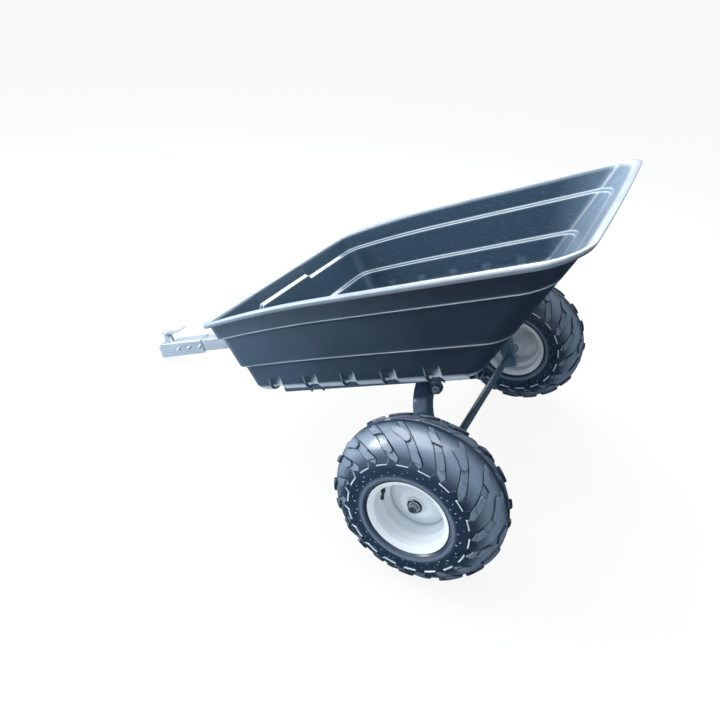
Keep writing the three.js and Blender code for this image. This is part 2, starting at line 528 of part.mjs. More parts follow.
{
  const inHalf = BAR / 2 + SEAT, outHalf = inHalf + COUPLER_SHEET;
  const zTop = COUPLER_TOP, zIn = zTop - COUPLER_SHEET;
  const arch = new THREE.Shape();
  arch.moveTo(-outHalf, COUPLER_LOW).lineTo(outHalf, COUPLER_LOW).lineTo(outHalf, zTop - 9)
    .absarc(outHalf - 9, zTop - 9, 9, 0, Math.PI / 2).lineTo(-outHalf + 9, zTop)
    .absarc(-outHalf + 9, zTop - 9, 9, Math.PI / 2, Math.PI);
  const domeTop = COUPLER_TOP - 1;
  const dome = (r, low, top) => {
    const shoulder = top - r * 0.62;
    const pts = [[0, low], [r, low], [r, shoulder]];
    for (let k = 1; k <= 5; k++) {
      const t = (Math.PI / 2) * (k / 5);
      pts.push([k === 5 ? 0 : r * Math.cos(t), shoulder + r * 0.62 * Math.sin(t)]);
    }
    return at(latheY(pts, 16).rotateX(Math.PI / 2), BALL_X, 0, 0);
  };
  const channel = block(BALL_X + SOCKET_R - 3, COUPLER_REAR + 5, -inHalf, inHalf, COUPLER_LOW - 5, zIn);
  const neck = block(BALL_X, BALL_X + SOCKET_R, -SOCKET_R + 5, SOCKET_R - 5, COUPLER_LOW - 5, zIn - 6);
  const earShape = new THREE.Shape();
  const pinZ = COUPLER_TOP + LEVER_PIN_UP;
  earShape.moveTo(LEVER_PIN_X - 17, zTop - 2).lineTo(LEVER_PIN_X + 19, zTop - 2).lineTo(LEVER_PIN_X + 8, pinZ)
    .absarc(LEVER_PIN_X, pinZ, 8, 0, Math.PI, false);
  const earIn = LEVER_W / 2 + RUN;
  const pinHole = at(rodY(BOLT_R + HOLE, -40, 40, 16), LEVER_PIN_X, 0, pinZ);
  const body = cut(
    join(extrudeX(arch, BALL_X + 2, COUPLER_REAR, 0, 4), dome(DOME_R, COUPLER_LOW, domeTop),
      extrudeY(earShape, earIn, earIn + 4, 0, 5), extrudeY(earShape, -earIn - 4, -earIn, 0, 5)),
    channel, neck, dome(SOCKET_R, COUPLER_LOW - 5, domeTop - COUPLER_SHEET), pinHole,
    at(rodZ(BOLT_R + RUN + 0.2, zIn - 5, zTop + 5, 16), LEVER_PIN_X, 0, 0),
    ...couplerBoltX.map((x) => at(rodY(BOLT_R + HOLE, -45, 45, 10), x, 0, BAR_Z_FRONT)));
  add('coupler_body', body, ZINC);
  couplerBoltX.forEach((x, k) => add(`coupler_bolt_${k + 1}`,
    at(boltY(BOLT_R, -outHalf - SEAT, outHalf + SEAT), x, 0, BAR_Z_FRONT), ZINC));

  // cam lever: round heel, then a lobe that pushes the lock bolt down as the handle lifts
  const lag = THREE.MathUtils.degToRad(28), open = THREE.MathUtils.degToRad(LEVER_OPEN);
  const cam = Array.from({ length: 13 }, (_, k) => {
    const a = (open + lag) * (k / 12);
    const r = LEVER_CAM + (LEVER_LIFT * Math.max(0, a - lag)) / open;
    return new THREE.Vector2(-r * Math.sin(a), -r * Math.cos(a));
  });
  const handle = new THREE.Shape([
    new THREE.Vector2(17, -4), ...cam,
    ...[[-24, 4.8], [-25, 8], [-14, 11], [0, 11], [34, 7], [66, 8], [100, 20], [103, 14], [70, 2.5], [40, -1]]
      .map(([x, z]) => new THREE.Vector2(x, z))]);
  add('coupler_lever', cut(at(extrudeY(handle, -LEVER_W / 2, LEVER_W / 2, 1.2), LEVER_PIN_X, 0, pinZ),
    at(rodY(BOLT_R + RUN, -40, 40, 16), LEVER_PIN_X, 0, pinZ)), ZINC);
  const pinHalf = earIn + 4 + SEAT;
  add('lever_pin', at(join(rodY(BOLT_R, -pinHalf - 1, pinHalf + 1, 16), rodY(BOLT_R * 1.6, pinHalf, pinHalf + 3, 16),
    rodY(BOLT_R * 1.6, -pinHalf - 3, -pinHalf, 16)), LEVER_PIN_X, 0, pinZ), ZINC);

  // spring-loaded lock bolt with the jaw that closes under the ball
  const headTop = pinZ - LEVER_CAM - SEAT, headH = 5;
  const jawTop = BAR_Z_FRONT - 4;
  add('lock_bolt', at(join(rodZ(7, headTop - headH, headTop, 16), rodZ(BOLT_R, jawTop + SEAT, headTop - 1, 16)), LEVER_PIN_X, 0, 0), ZINC);
  const jaw = cut(block(BALL_X + 14, LEVER_PIN_X + 9, -14, 14, jawTop - 17, jawTop),
    at(new THREE.SphereGeometry(SOCKET_R, 24, 16), BALL_X, 0, BAR_Z_FRONT - 4));
  add('ball_clamp', jaw, ZINC);
  add('clamp_spring', at(coilY(5.8, 0.9, 0, zIn - jawTop - 2 * SEAT, 4.5).rotateX(Math.PI / 2), LEVER_PIN_X, 0, jawTop + SEAT), STEEL);
}

// ---------------------------------------------------------------- foot latch of the tub

// The hook is laid out shut, with its roof just over the striker, then swung open about its bolt.
{
  const px = LATCH_X, pz = BAR_Z - LATCH_LOW;
  const sx = CROSS_FRONT_X - RAIL / 2 - STRIKER_REACH, sz = RAIL_Z0 - STRIKER_LOW;
  const y0 = BAR / 2 + 11, y1 = y0 + LATCH_T;
  const gate = sx - STRIKER_R - 1 - px, roof = sz + STRIKER_R + SEAT - pz, nose = sx + 13 - px;
  const hook = new THREE.Shape([[16, 2], [gate, sz - 8 - pz], [gate, roof], [nose, roof], [nose, roof + 7],
    [nose - 10, roof + 16], [gate - 12, roof + 16], [-4, 15], [-30, 15], [24 - LATCH_ARM, 26], [-LATCH_ARM, 26],
    [-LATCH_ARM, 18], [22 - LATCH_ARM, 17], [-34, -2], [-12, -13], [6, -13]].map(([x, z]) => new THREE.Vector2(x, z)));
  const pad = block(-LATCH_ARM - 6, PEDAL - LATCH_ARM - 6, y0, y0 + PEDAL_W, 18, 26);
  const boss = rodY(12, BAR / 2 + SEAT, y0 + 1, 16);
  const lever = cut(join(extrudeY(hook, y0, y1), pad, boss), rodY(BOLT_R + 1 + RUN, 0, 60, 16));
  add('latch_lever', at(lever.rotateY(THREE.MathUtils.degToRad(-LATCH_SWING)), px, 0, pz), PAINT);
  add('latch_bolt', at(boltY(BOLT_R + 1, -BAR / 2 - SEAT, y1 + SEAT), px, 0, pz), ZINC);
  const plate = (y) => block(sx - STRIKER_R, CROSS_FRONT_X - RAIL / 2 - SEAT, y, y + 5, sz - STRIKER_R - 2, railMid);
  add('striker', join(at(rodY(STRIKER_R, y0 - 9, y1 + 9, 12), sx, 0, sz), plate(y0 - 9), plate(y1 + 4)), PAINT);
}

// ---------------------------------------------------------------- wheels

// Balloon tyre. Rows run round its cross-section and lines run round its rim: four lines to a
// lug, so that each lug has a root and a crest on both flanks, with left and right lugs offset
// by half a pitch and swept back to the shoulder. Rows without lugs need one line to a lug.
const tyre = () => {
  const [A, B, C, D] = [0, 0.07, 0.6, 0.67];           // root, crest, crest, root of a left lug
  const phases = { left: [A, B, C, D], right: [C - 0.5, D - 0.5, A + 0.5, B + 0.5] };
  const SWEEP = -1;
  const root = TYRE_R - LUG_H;
  const crown = (share) => TYRE_BELLY + (root - TYRE_BELLY) * Math.sqrt(1 - share ** 1.8);
  const band = (share, lug) => ({ y: share * TYRE_HALF, r: crown(share), lug });
  const bead = (SEAT_R + SEAT) / Math.cos(Math.PI / LUGS);
  const half = [
    band(0.06, LUG_H), band(0.5, LUG_H), band(0.8, 0.8 * LUG_H), band(0.95, 0),
    { y: TYRE_HALF, r: TYRE_BELLY }, { y: TYRE_HALF - 4, r: RIM_R + 10 }, { y: RIM_HALF - 4.5, r: RIM_R - 1 },
    { y: RIM_HALF - 9.5, r: bead }, { y: RIM_HALF - 24, r: bead }, { y: TYRE_HALF - 10, r: TYRE_BELLY + 3 },
    { y: 0.7 * TYRE_HALF, r: crown(0.7) - 10 }, { y: 0.3 * TYRE_HALF, r: crown(0.3) - 10 }];
  const rows = [...half.slice().reverse().map((p) => ({ ...p, side: 'left', y: -p.y })), ...half.map((p) => ({ ...p, side: 'right' }))];
  const position = [], start = [];
  rows.forEach((p) => {
    start.push(position.length / 3);
    const fine = p.lug !== undefined;
    for (let k = 0; k < LUGS; k++) for (let j = 0; j < (fine ? 4 : 1); j++) {
      const crest = p.side === 'left' ? j === 1 || j === 2 : j === 0 || j === 3;
      const swept = SWEEP * (fine ? (Math.abs(p.y) / TYRE_HALF) ** 1.2 : 1);
      const a = (2 * Math.PI * (k + (fine ? phases[p.side][j] : 0.3) + swept)) / LUGS;
      const r = p.r + (crest ? p.lug || 0 : 0);
      position.push(r * Math.cos(a), p.y, r * Math.sin(a));
    }
  });
  const index = [];
  rows.forEach((p, i) => {
    const next = (i + 1) % rows.length;
    const lines = [p, rows[next]].map((q) => (q.lug !== undefined ? 4 : 1));
    const P = (m) => start[i] + (m % (LUGS * lines[0]));
    const Q = (m) => start[next] + (m % (LUGS * lines[1]));
    for (let k = 0; k < LUGS; k++) {
      if (lines[0] === lines[1]) for (let m = k * lines[0]; m < (k + 1) * lines[0]; m++) index.push(P(m), P(m + 1), Q(m + 1), P(m), Q(m + 1), Q(m));
      else if (lines[0] === 4) {
        for (let j = 0; j < 4; j++) index.push(P(4 * k + j), P(4 * k + j + 1), Q(k + (j > 1 ? 1 : 0)));
        index.push(P(4 * k + 2), Q(k + 1), Q(k));
      } else {
        for (let j = 0; j < 4; j++) index.push(P(k + (j > 1 ? 1 : 0)), Q(4 * k + j + 1), Q(4 * k + j));
        index.push(P(k), P(k + 1), Q(4 * k + 2));
      }
    }
  });
  return facingOut(position, index);
};

// Steel rim, outboard towards +Y: flanges, bead seats, the stepped dish that shows outside
// and the bowl inside, as one closed outline.
const WELL = 15.5;              // depth of the drop centre below the bead seats
const STEP = 7.5;              // and of the shoulder beside it
const VALVE_AT = SEAT_R - 6;
const VALVE_FOOT = 45;
const VALVE_TILT = 20;
const rim = () => {
  const f = RIM_HALF, t = RIM_SHEET, hubHole = HUB_R + SEAT;
  const well = SEAT_R - WELL, step = SEAT_R - STEP, bowl = well - 6, mid = (bowl + 44) / 2;
  return latheY([
    [RIM_R, -f], [SEAT_R, -f + 9], [SEAT_R, -f + 33], [well, -f + 45], [well, 18], [step, 31], [step, 42],
    [SEAT_R, 58], [SEAT_R, f - 9], [RIM_R, f], [RIM_R - t, f],
    [SEAT_R - t, f - 9], [SEAT_R - t, 60], [step - t, 43], [step - t, 32], [well - t, 18], [bowl, 8], [mid, 12], [44, 26], [hubHole, 33],
    [hubHole, 30], [43, 23], [mid - 1, 8], [well - t, 0], [well - t, -f + 46], [SEAT_R - t, -f + 34], [SEAT_R - t, -f + 9],
    [RIM_R - t, -f], [RIM_R, -f]], 20);
};
mirrored((side, s) => {
  const wheel = new THREE.Group();
  wheel.position.y = s * (TRACK / 2);
  chassis.add(wheel);
  const turned = (g) => (s > 0 ? g : mirrorY(g));
  add(`${side}_tyre`, tyre(), RUBBER, wheel);
  const boreR = AXLE_R + RUN + BEARING_WALL + SEAT;
  // the valve leans in towards the hub, through the slope beside the outer bead seat
  const valvePlace = (g) => at(g.rotateZ((VALVE_TILT * Math.PI) / 180), VALVE_AT, VALVE_FOOT, 0).rotateY((223.5 * Math.PI) / 180);
  add(`${side}_rim`, turned(cut(rim(), valvePlace(rodY(5 + 2 * SEAT, -14, 14, 12)))), SILVER, wheel);
  add(`${side}_valve`, turned(valvePlace(latheY([[0, -7], [5, -7], [5, 13], [6.6, 14.5], [6.4, 17], [4.2, 20], [4.2, 31], [4.8, 32], [4.8, 42], [0, 43]], 10))), BLACK_RUBBER, wheel);
  add(`${side}_hub`, turned(ringY(boreR, HUB_R, -HUB_IN, HUB_OUT, 20)), SILVER, wheel);
  add(`${side}_inner_bearing`, turned(ringY(AXLE_R + RUN, boreR - SEAT, -HUB_IN, -HUB_IN + BEARING_W, 20)), STEEL, wheel);
  add(`${side}_outer_bearing`, turned(ringY(AXLE_R + RUN, boreR - SEAT, HUB_OUT - BEARING_W, HUB_OUT, 20)), STEEL, wheel);
  // on the axle: spacer tube against the leg, washer and split pin outside
  add(`${side}_spacer`, turned(ringY(AXLE_R + SEAT, 18, HOOP_HALF + SEAT, TRACK / 2 - HUB_IN - SEAT)), ZINC);
  add(`${side}_washer`, turned(ringY(AXLE_R + SEAT, 20, washerY, washerY + WASHER_T)), ZINC);
  const eye = new THREE.TorusGeometry(4.5, COTTER_R * 0.8, 5, 10).rotateX(Math.PI / 2);
  add(`${side}_split_pin`, turned(at(join(rodZ(COTTER_R, -AXLE_R - 9, AXLE_R + 3, 10), at(eye, 0, 0, AXLE_R + 6)), 0, cotterY, 0)), ZINC);
});

// ---------------------------------------------------------------- stance

// Nose-down lean: the front skirt of the coupler and the tyres touch one plane.
// Over a reach L in front of the axle and a height h above it: L sin a - h cos a = tyre radius.
const REACH = -(BALL_X - DOME_R);
const lean = Math.asin(TYRE_R / Math.hypot(REACH, COUPLER_LOW)) + Math.atan2(COUPLER_LOW, REACH);
chassis.rotation.y = -lean;
chassis.updateMatrixWorld(true);
const bounds = new THREE.Box3().setFromObject(chassis, true);
chassis.position.set(-(bounds.min.x + bounds.max.x) / 2, -(bounds.min.y + bounds.max.y) / 2, -bounds.min.z);

const cart = new THREE.Group();
cart.add(chassis);
export default cart;
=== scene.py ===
import json
import math
import bpy
from mathutils import Matrix, Vector


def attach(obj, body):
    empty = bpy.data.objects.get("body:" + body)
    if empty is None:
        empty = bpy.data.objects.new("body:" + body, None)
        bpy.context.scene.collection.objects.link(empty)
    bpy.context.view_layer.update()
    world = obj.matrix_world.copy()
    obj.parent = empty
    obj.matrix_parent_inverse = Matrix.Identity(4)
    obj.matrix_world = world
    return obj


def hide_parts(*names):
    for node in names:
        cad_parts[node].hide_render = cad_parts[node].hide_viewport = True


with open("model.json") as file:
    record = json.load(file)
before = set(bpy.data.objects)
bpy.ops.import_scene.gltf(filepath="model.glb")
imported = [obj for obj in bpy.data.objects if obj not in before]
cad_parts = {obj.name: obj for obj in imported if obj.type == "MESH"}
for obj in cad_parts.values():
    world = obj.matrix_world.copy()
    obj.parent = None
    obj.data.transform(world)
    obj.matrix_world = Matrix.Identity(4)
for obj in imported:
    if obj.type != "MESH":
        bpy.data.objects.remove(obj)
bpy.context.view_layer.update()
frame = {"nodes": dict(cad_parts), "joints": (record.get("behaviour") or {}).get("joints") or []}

# ---------------------------------------------------------------- where the cart stands
# The cart stands on its two wheels and on the end of its drawbar, so all of it leans forward
# about the axle. Pieces are modelled on the level cart in millimetres, with the axle's middle
# at zero, x to the rear and z up, and their meshes then take this stance.
joints = {joint["name"]: joint for joint in frame["joints"]}
down = joints["clamp_slide"]["axis"]
axle_at = joints["right_wheel_spin"]["pos_m"]
STANCE = (Matrix.Translation((axle_at[0], 0, axle_at[2]))
          @ Matrix.Rotation(-math.atan2(down[0], -down[2]), 4, "Y") @ Matrix.Scale(0.001, 4))


def new_object(name, data):
    """A new object in the scene."""
    made = bpy.data.objects.new(name, data)
    bpy.context.collection.objects.link(made)
    return made


# The camera looks down on the cart from beyond its left rear corner.
camera = new_object("camera", bpy.data.cameras.new("camera"))
camera.data.lens = 33.5748
camera.data.sensor_width = 36
camera.matrix_world = Matrix(((0.894035, -0.284873, 0.345757, 0.91002),
                              (0.442201, 0.437407, -0.783028, -1.84001),
                              (0.071827, 0.852949, 0.517029, 1.48605), (0, 0, 0, 1)))
bpy.context.scene.camera = camera
bpy.ops.object.select_all(action="DESELECT")

# ---------------------------------------------------------------- tub
# The load box: one shell of rotation-moulded polyethylene, 5 mm thick, with two ledges round
# its wall, five grooves pressed across its floor, and a lip rolled outwards over its edge.
WALL = 5
TUB_DEPTH = 282
FLOOR_Z = 298.6
RIM_FRONT, RIM_REAR, RIM_MID = -590, 531, 470
FRONT_RAKE, TAIL_RAKE, SIDE_DRAFT, PLAN_TAPER = 0.2, 1.16, 0.03, 0.038
LEDGE_W, LEDGE_DROP, LEDGES, LEDGE_SOFT = 10, 8, (95, 208), 1.6
CORNER_FRONT, CORNER_REAR, CORNER_FRONT_LOW, CORNER_REAR_LOW = 42, 90, 50, 40
FLOOR_ROUND, WALL_BOW = 26, 5
SHEER, DIP, DIP_FROM = 0.017, 25, -150
GROOVES, GROOVE_FIRST, GROOVE_PITCH = 5, -418, 130
GROOVE_W, GROOVE_DEPTH, GROOVE_RISE, GROOVE_STEEP = 46, 13, 46, 2.2
BAR_HALF, BAR_NEAR, BAR_UP, BAR_GROW, BAR_FADE, BAR_SLOPE = 112, 190, 14, 95, 50, 9
GROOVE_STATIONS = [-26, -24, -23, -22, -20.5, -18, -15, -13, -12, -9, -4, 4, 9, 12, 13, 15, 18, 20.5, 22, 23,
                   24, 26, 36, 50, 65, 80, 94]


def clamp(value, low=0.0, high=1.0):
    return max(low, min(high, value))


def off_groove(x):
    """How far x lies behind the middle of the groove nearest to it."""
    nearest = clamp(round((x - GROOVE_FIRST) / GROOVE_PITCH), 0, GROOVES - 1)
    return x - GROOVE_FIRST - nearest * GROOVE_PITCH


def groove(x):
    """Depth of the pressed grooves at x, from 0 to 1, with softened edges."""
    total = 0
    for shift in (-1, 0, 1):
        off = abs(off_groove(x + shift)) / (GROOVE_W / 2)
        total += clamp(GROOVE_STEEP * (1 - off)) / 3
    return total


def ledge_inset(h):
    """Inset of the wall under its ledges, averaged over their softened edges."""
    area = lambda u: 0 if u < 0 else u * u / 2 if u < 1 else u - 0.5
    soft = LEDGE_SOFT / LEDGE_DROP
    steps = [(low + LEDGE_DROP - h) / LEDGE_DROP for low in LEDGES]
    return sum((area(u + soft) - area(u - soft)) / (2 * soft) for u in steps) * LEDGE_W


def tub_row(h, out=0.0, skin=0.0):
    """One closed row of the wall at height h over the floor, seen from above."""
    r = FLOOR_ROUND - 0.6 * skin
    up, over = TUB_DEPTH - h, max(0, h - skin)
    low = up / TUB_DEPTH
    turn = r - math.sqrt(r * r - (r - over) ** 2) if over < r else 0
    around = ledge_inset(h) + turn + skin - out
    front = RIM_FRONT + up * FRONT_RAKE + around
    rear = RIM_REAR - up * TAIL_RAKE - turn - skin * math.hypot(1, TAIL_RAKE) + out
    half = lambda x: RIM_MID + PLAN_TAPER * x - up * SIDE_DRAFT - around
    rf = CORNER_FRONT + (CORNER_FRONT_LOW - CORNER_FRONT) * low - skin + out
    rr = CORNER_REAR + (CORNER_REAR_LOW - CORNER_REAR) * low - skin + out
    yf, yr = half(front + rf) - rf, half(rear - rr) - rr
    # the front wall's raised bars grow above the low ledge and fade under the lip
    lifted = clamp((h - LEDGES[0] - LEDGE_DROP) / BAR_GROW) * clamp((TUB_DEPTH - WALL - h) / BAR_FADE)
    plan = []
    near = (0, 20, 40, 60, 80, 95, 102, 106, 109, 111, 113, 115, 118, 122, 130, 145, 165, 180, 184, 187, 189,
            191, 193, 196, 200)
    for y in near + tuple(200 + (yf - 200) * k / 7 for k in range(1, 7)):
        bars = [BAR_UP * clamp((reach + 5 - y) / BAR_SLOPE) * lifted for reach in (BAR_HALF, BAR_NEAR)]
        plan.append((front - WALL_BOW * (1 - (y / yf) ** 2), y, bars))
    quarter = math.pi / 2
    for k in range(11):
        a = quarter * k / 10
        plan.append((front + rf * (1 - math.cos(a)), yf + rf * math.sin(a), (0, 0)))
    side = []
    for k in range(GROOVES):
        side += [GROOVE_FIRST + GROOVE_PITCH * k + off for off in GROOVE_STATIONS]
    side = [front + rf + (side[0] - front - rf) * k / 4 for k in range(1, 4)] + side
    side += [side[-1] + (rear - rr - side[-1]) * k / 14 for k in range(1, 14)]
    plan += [(x, half(x), (0, 0)) for x in side]
    for k in range(17):
        a = quarter * k / 16
        plan.append((rear - rr * (1 - math.sin(a)), yr + rr * math.cos(a), (0, 0)))
    for k in range(1, 11):
        share = 1 - k / 10
        plan.append((rear + (WALL_BOW - 0.3) * (1 - share ** 2), yr * share, (0, 0)))
    upright = clamp(over / r)
    right, left = [], []
    for x, y, bars in plan:
        press = groove(x) * GROOVE_DEPTH * clamp(1 - h / GROOVE_RISE)
        rim_line = SHEER * x - DIP * clamp((DIP_FROM - x) / (DIP_FROM - RIM_FRONT), 0, 1.1) ** 2
        inward = max(0, y - press * upright) if y else 0
        level = FLOOR_Z + h + rim_line * h / TUB_DEPTH + press * (1 - upright)
        right.append((x, inward, level + bars[0]))
        left.append((x, -inward, level + bars[1]))
    return right + left[-2:0:-1]


def select_alone(piece):
    """Makes a piece the active one, and the only one selected."""
    bpy.ops.object.select_all(action="DESELECT")
    piece.select_set(True)
    bpy.context.view_layer.objects.active = piece


def edited(piece, *steps):
    """A piece taken through edit mode, with all of it selected before each step and its settings."""
    select_alone(piece)
    bpy.ops.object.mode_set(mode="EDIT")
    for step, settings in steps:
        bpy.ops.mesh.select_all(action="SELECT")
        step(**settings)
    bpy.ops.object.mode_set(mode="OBJECT")
    return piece


TURN_OUTWARDS = (bpy.ops.mesh.normals_make_consistent, {"inside": False})


def mesh_object(name, points, faces, edges=()):
    """An object from points and faces or edges, its normals turned outwards."""
    mesh = bpy.data.meshes.new(name)
    mesh.from_pydata(points, list(edges), faces)
    return edited(new_object(name, mesh), TURN_OUTWARDS)


arc = lambda n, f: [f(math.pi / 2 * k / n) for k in range(n + 1)]
plain = [30, 34, 38, 42, 46, 54, 64, 76, 86]
ledge_low = [92.5 + 0.9 * k for k in range(16)]
middle = [112, 122, 137, 155, 175, 192, 201]
ledge_high = [205.5 + 0.9 * k for k in range(16)]
wall_heights = plain + ledge_low + middle + ledge_high + [224, 234, 246, 257, 266]
inner_round = FLOOR_ROUND - 0.6 * WALL
# the lip in (height, way out): out from the wall, round its turned-down edge, up, and back over into the tub
lip = (arc(4, lambda t: (273 + 4 * math.sin(t), 4 - 4 * math.cos(t)))
       + arc(4, lambda t: (273 + 4 * math.cos(t), 8 + 4 * math.sin(t)))
       + arc(6, lambda t: (269.5 - 2.5 * math.sin(2 * t), 14.5 - 2.5 * math.cos(2 * t))) + [(272, 17)]
       + arc(6, lambda t: (275 + 7 * math.sin(t), 10 + 7 * math.cos(t))) + [(282, 6)]
       + arc(7, lambda t: (274 + 8 * math.cos(t), 3 - 8 * math.sin(t))))
rows = [tub_row(h) for h in arc(9, lambda t: FLOOR_ROUND * (1 - math.cos(t)))]
rows += [tub_row(h) for h in wall_heights]
rows += [tub_row(h, max(0, out), max(0, -out)) for h, out in lip]
rows += [tub_row(h, 0, WALL) for h in reversed(wall_heights)]
rows += [tub_row(h, 0, WALL) for h in reversed(arc(9, lambda t: WALL + inner_round * (1 - math.cos(t))))]
count = len(rows[0])
points = [point for row in rows for point in row]
faces = []
for start in range(0, (len(rows) - 1) * count, count):
    for j in range(count):
        beside = (j + 1) % count
        faces.append((start + j, start + beside, start + count + beside, start + count + j))
# the floor's two sides, in strips from wall to wall
for start in (0, (len(rows) - 1) * count):
    for j in range(count // 2):
        strip = [start + k % count for k in (j, j + 1, count - j - 1, count - j)]
        strip = [k for n, k in enumerate(strip) if k not in strip[:n]]
        faces.append(strip)
tub = mesh_object("tub_shell", points, faces)


def ledge_highlight(h, skin):
    """How strong the painted highlight is at a height: at each ledge's top edge, and inside at its foot too.
    """
    edges = [low + LEDGE_DROP for low in LEDGES] + (list(LEDGES) if skin else [])
    return max(math.exp(-((h - edge) / 1.7) ** 2) for edge in edges)


# painted highlights, row by row: along the ledges' top edges outside, over the lip (weaker round its
# turned-down edge), and along the ledges inside
outside = [0] * 10 + [ledge_highlight(h, 0) for h in wall_heights]
over_lip = [0.6 if h > 276 or out < 10 else 0.28 for h, out in lip]
within = [0.8 * ledge_highlight(h, WALL) for h in reversed(wall_heights)] + [0] * 10
row_highlight = outside + over_lip[:9] + [0.22] * 8 + over_lip[17:] + within
inner_from = len(outside) + len(lip)
heights = arc(9, lambda t: FLOOR_ROUND * (1 - math.cos(t))) + wall_heights
FLOOR_EDGE = dict(zip(range(2, 9), (0.5, 0.9, 1, 1, 1, 0.85, 0.4)))
REAR_EDGE, FRONT_EDGE = GROOVE_W / 2 - 1.5, -GROOVE_W / 2
highlight_amounts = []
for k, row in enumerate(rows):
    for x, y, z in row:
        value = row_highlight[k]
        if k < len(heights):
            off, h = off_groove(x), heights[k]
            # painted highlight outside on each groove's two upright edges, the rear one brighter
            fade = clamp((GROOVE_RISE + 6 - h) / 12)
            value = max(value, 0.95 * fade * math.exp(-((off - REAR_EDGE) / 1.6) ** 2),
                        0.4 * fade * math.exp(-((off - FRONT_EDGE) / 1.3) ** 2))
            # painted highlight along the round between floor and wall, broken just ahead of each groove's
            # hollow
            if k in FLOOR_EDGE:
                value = 0 if -25.5 < off < -16 else max(value, FLOOR_EDGE[k])
            # painted highlight in the hollow of a groove, paler towards its rear and its foot
            if k > 1:
                hollow = clamp((off + 17 - 0.5 * h) / 14) * clamp((21 - off) / 3)
                value = max(value, 0.9 * hollow * clamp((GROOVE_RISE - h) / 24))
        highlight_amounts.append(value)
in_rows = [float(k >= inner_from) for k in range(len(rows)) for _ in range(count)]
# the painted highlights, and which points lie inside, are kept on the points for the material
for name, values in (("painted_highlight", highlight_amounts), ("inside", in_rows)):
    spread = tub.data.attributes.new(name, "FLOAT", "POINT")
    spread.data.foreach_set("value", values)


def finish(piece, material, body, node, smooth):
    """Gives a piece in its place its smoothing, finish and body, and hides the CAD node it stands for."""
    select_alone(piece)
    bpy.ops.object.shade_smooth_by_angle(angle=math.radians(smooth))
    piece.data.materials.clear()
    piece.data.materials.append(material)
    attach(piece, body)
    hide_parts(node)


def settle(piece, material, body, node, smooth=35):
    """Puts a piece modelled on the level cart in its place, and finishes it."""
    piece.data.transform(STANCE @ piece.matrix_world)
    piece.matrix_world = Matrix()
    finish(piece, material, body, node, smooth)


def linear(code):
    """A material's linear colour from its sRGB hex value."""
    parts = [int(code[k:k + 2], 16) / 255 for k in (1, 3, 5)]
    return tuple(p / 12.92 if p <= 0.04045 else ((p + 0.055) / 1.055) ** 2.4 for p in parts) + (1.0,)


def set_inputs(tree, node, inputs):
    """Sets a node's inputs to values, or links them to an output or to another node's first one."""
    for key, value in inputs.items():
        if isinstance(value, bpy.types.Node):
            value = next(output for output in value.outputs if output.enabled)
        if isinstance(value, bpy.types.NodeSocket):
            tree.links.new(value, node.inputs[key])
        else:
            node.inputs[key].default_value = value


def add_node(tree, kind, inputs=None, **settings):
    """A new node with its settings and its inputs."""
    made = tree.nodes.new(kind)
    for key, value in settings.items():
        setattr(made, key, value)
    set_inputs(tree, made, inputs or {})
    return made


def new_material(name):
    """A material, its node tree, its shader, and each point's place in metres."""
    made = bpy.data.materials.new(name)
    made.use_nodes = True
    tree = made.node_tree
    shader = tree.nodes["Principled BSDF"]
    place = add_node(tree, "ShaderNodeTexCoord").outputs["Object"]
    return made, tree, shader, place


def rippled(tree, place, scale, detail, strength, depth, **under):
    """A normal for a fine relief, with so many ripples to the metre and a depth in metres."""
    ripples = add_node(tree, "ShaderNodeTexNoise", {"Vector": place, "Scale": scale, "Detail": detail})
    relief = add_node(tree, "ShaderNodeBump", {
        "Height": ripples, "Strength": strength, "Distance": depth, **under})
    return relief


# Polyethylene out of a rotation mould, near black: a satin skin with a fine orange peel about
# 2 mm across, soft clouds 140 mm across in its colour, painted highlights along its edges, and scratches
# inside.
polyethylene, tree, shader, place = new_material("moulded polyethylene")
along = add_node(tree, "ShaderNodeSeparateXYZ", {0: place}).outputs["X"]
clouds = add_node(tree, "ShaderNodeTexNoise", {
    "Vector": place, "Scale": 7.0, "Detail": 3.0, "Roughness": 0.6})
long_way = add_node(tree, "ShaderNodeMapping", {"Vector": place, "Scale": (4.0, 60.0, 22.0)})
rubs = add_node(tree, "ShaderNodeTexNoise", {
    "Vector": long_way, "Scale": 9.0, "Detail": 6.0, "Roughness": 0.7})
rubbed = add_node(tree, "ShaderNodeMapRange", {
    "Value": rubs, "From Min": 0.55, "From Max": 0.8, "To Min": 0.0, "To Max": 0.55})
in_tub = add_node(tree, "ShaderNodeAttribute", attribute_name="inside").outputs["Fac"]
# painted reflection: the inside is painted paler towards the tail, as if it mirrored the sky there, and this
# is added to the scratches
tail_reflection = add_node(tree, "ShaderNodeMapRange", {
    "Value": along, "From Min": 0.56, "From Max": 0.74, "To Min": 0.0, "To Max": 0.75})
scratches_and_reflection = add_node(tree, "ShaderNodeMath", {0: rubbed, 1: tail_reflection}, operation="ADD", use_clamp=True)
scratches_and_reflection_in = add_node(tree, "ShaderNodeMath", {0: scratches_and_reflection, 1: in_tub}, operation="MULTIPLY")
# painted light: the outside is painted a little paler towards its front, as if lit more brightly there, over
# soft clouds of tone
painted_front_light = add_node(tree, "ShaderNodeMapRange", {
    "Value": along, "From Min": -0.55, "From Max": 0.5, "To Min": 0.8, "To Max": -0.25})
clouds_and_front_light = add_node(tree, "ShaderNodeMath", {
    0: clouds, 1: 0.45, 2: painted_front_light}, operation="MULTIPLY_ADD", use_clamp=True)
outer_colour = add_node(tree, "ShaderNodeMix", {
    0: clouds_and_front_light, 6: linear("#1a2a3a"), 7: linear("#3d5a75")}, data_type="RGBA")
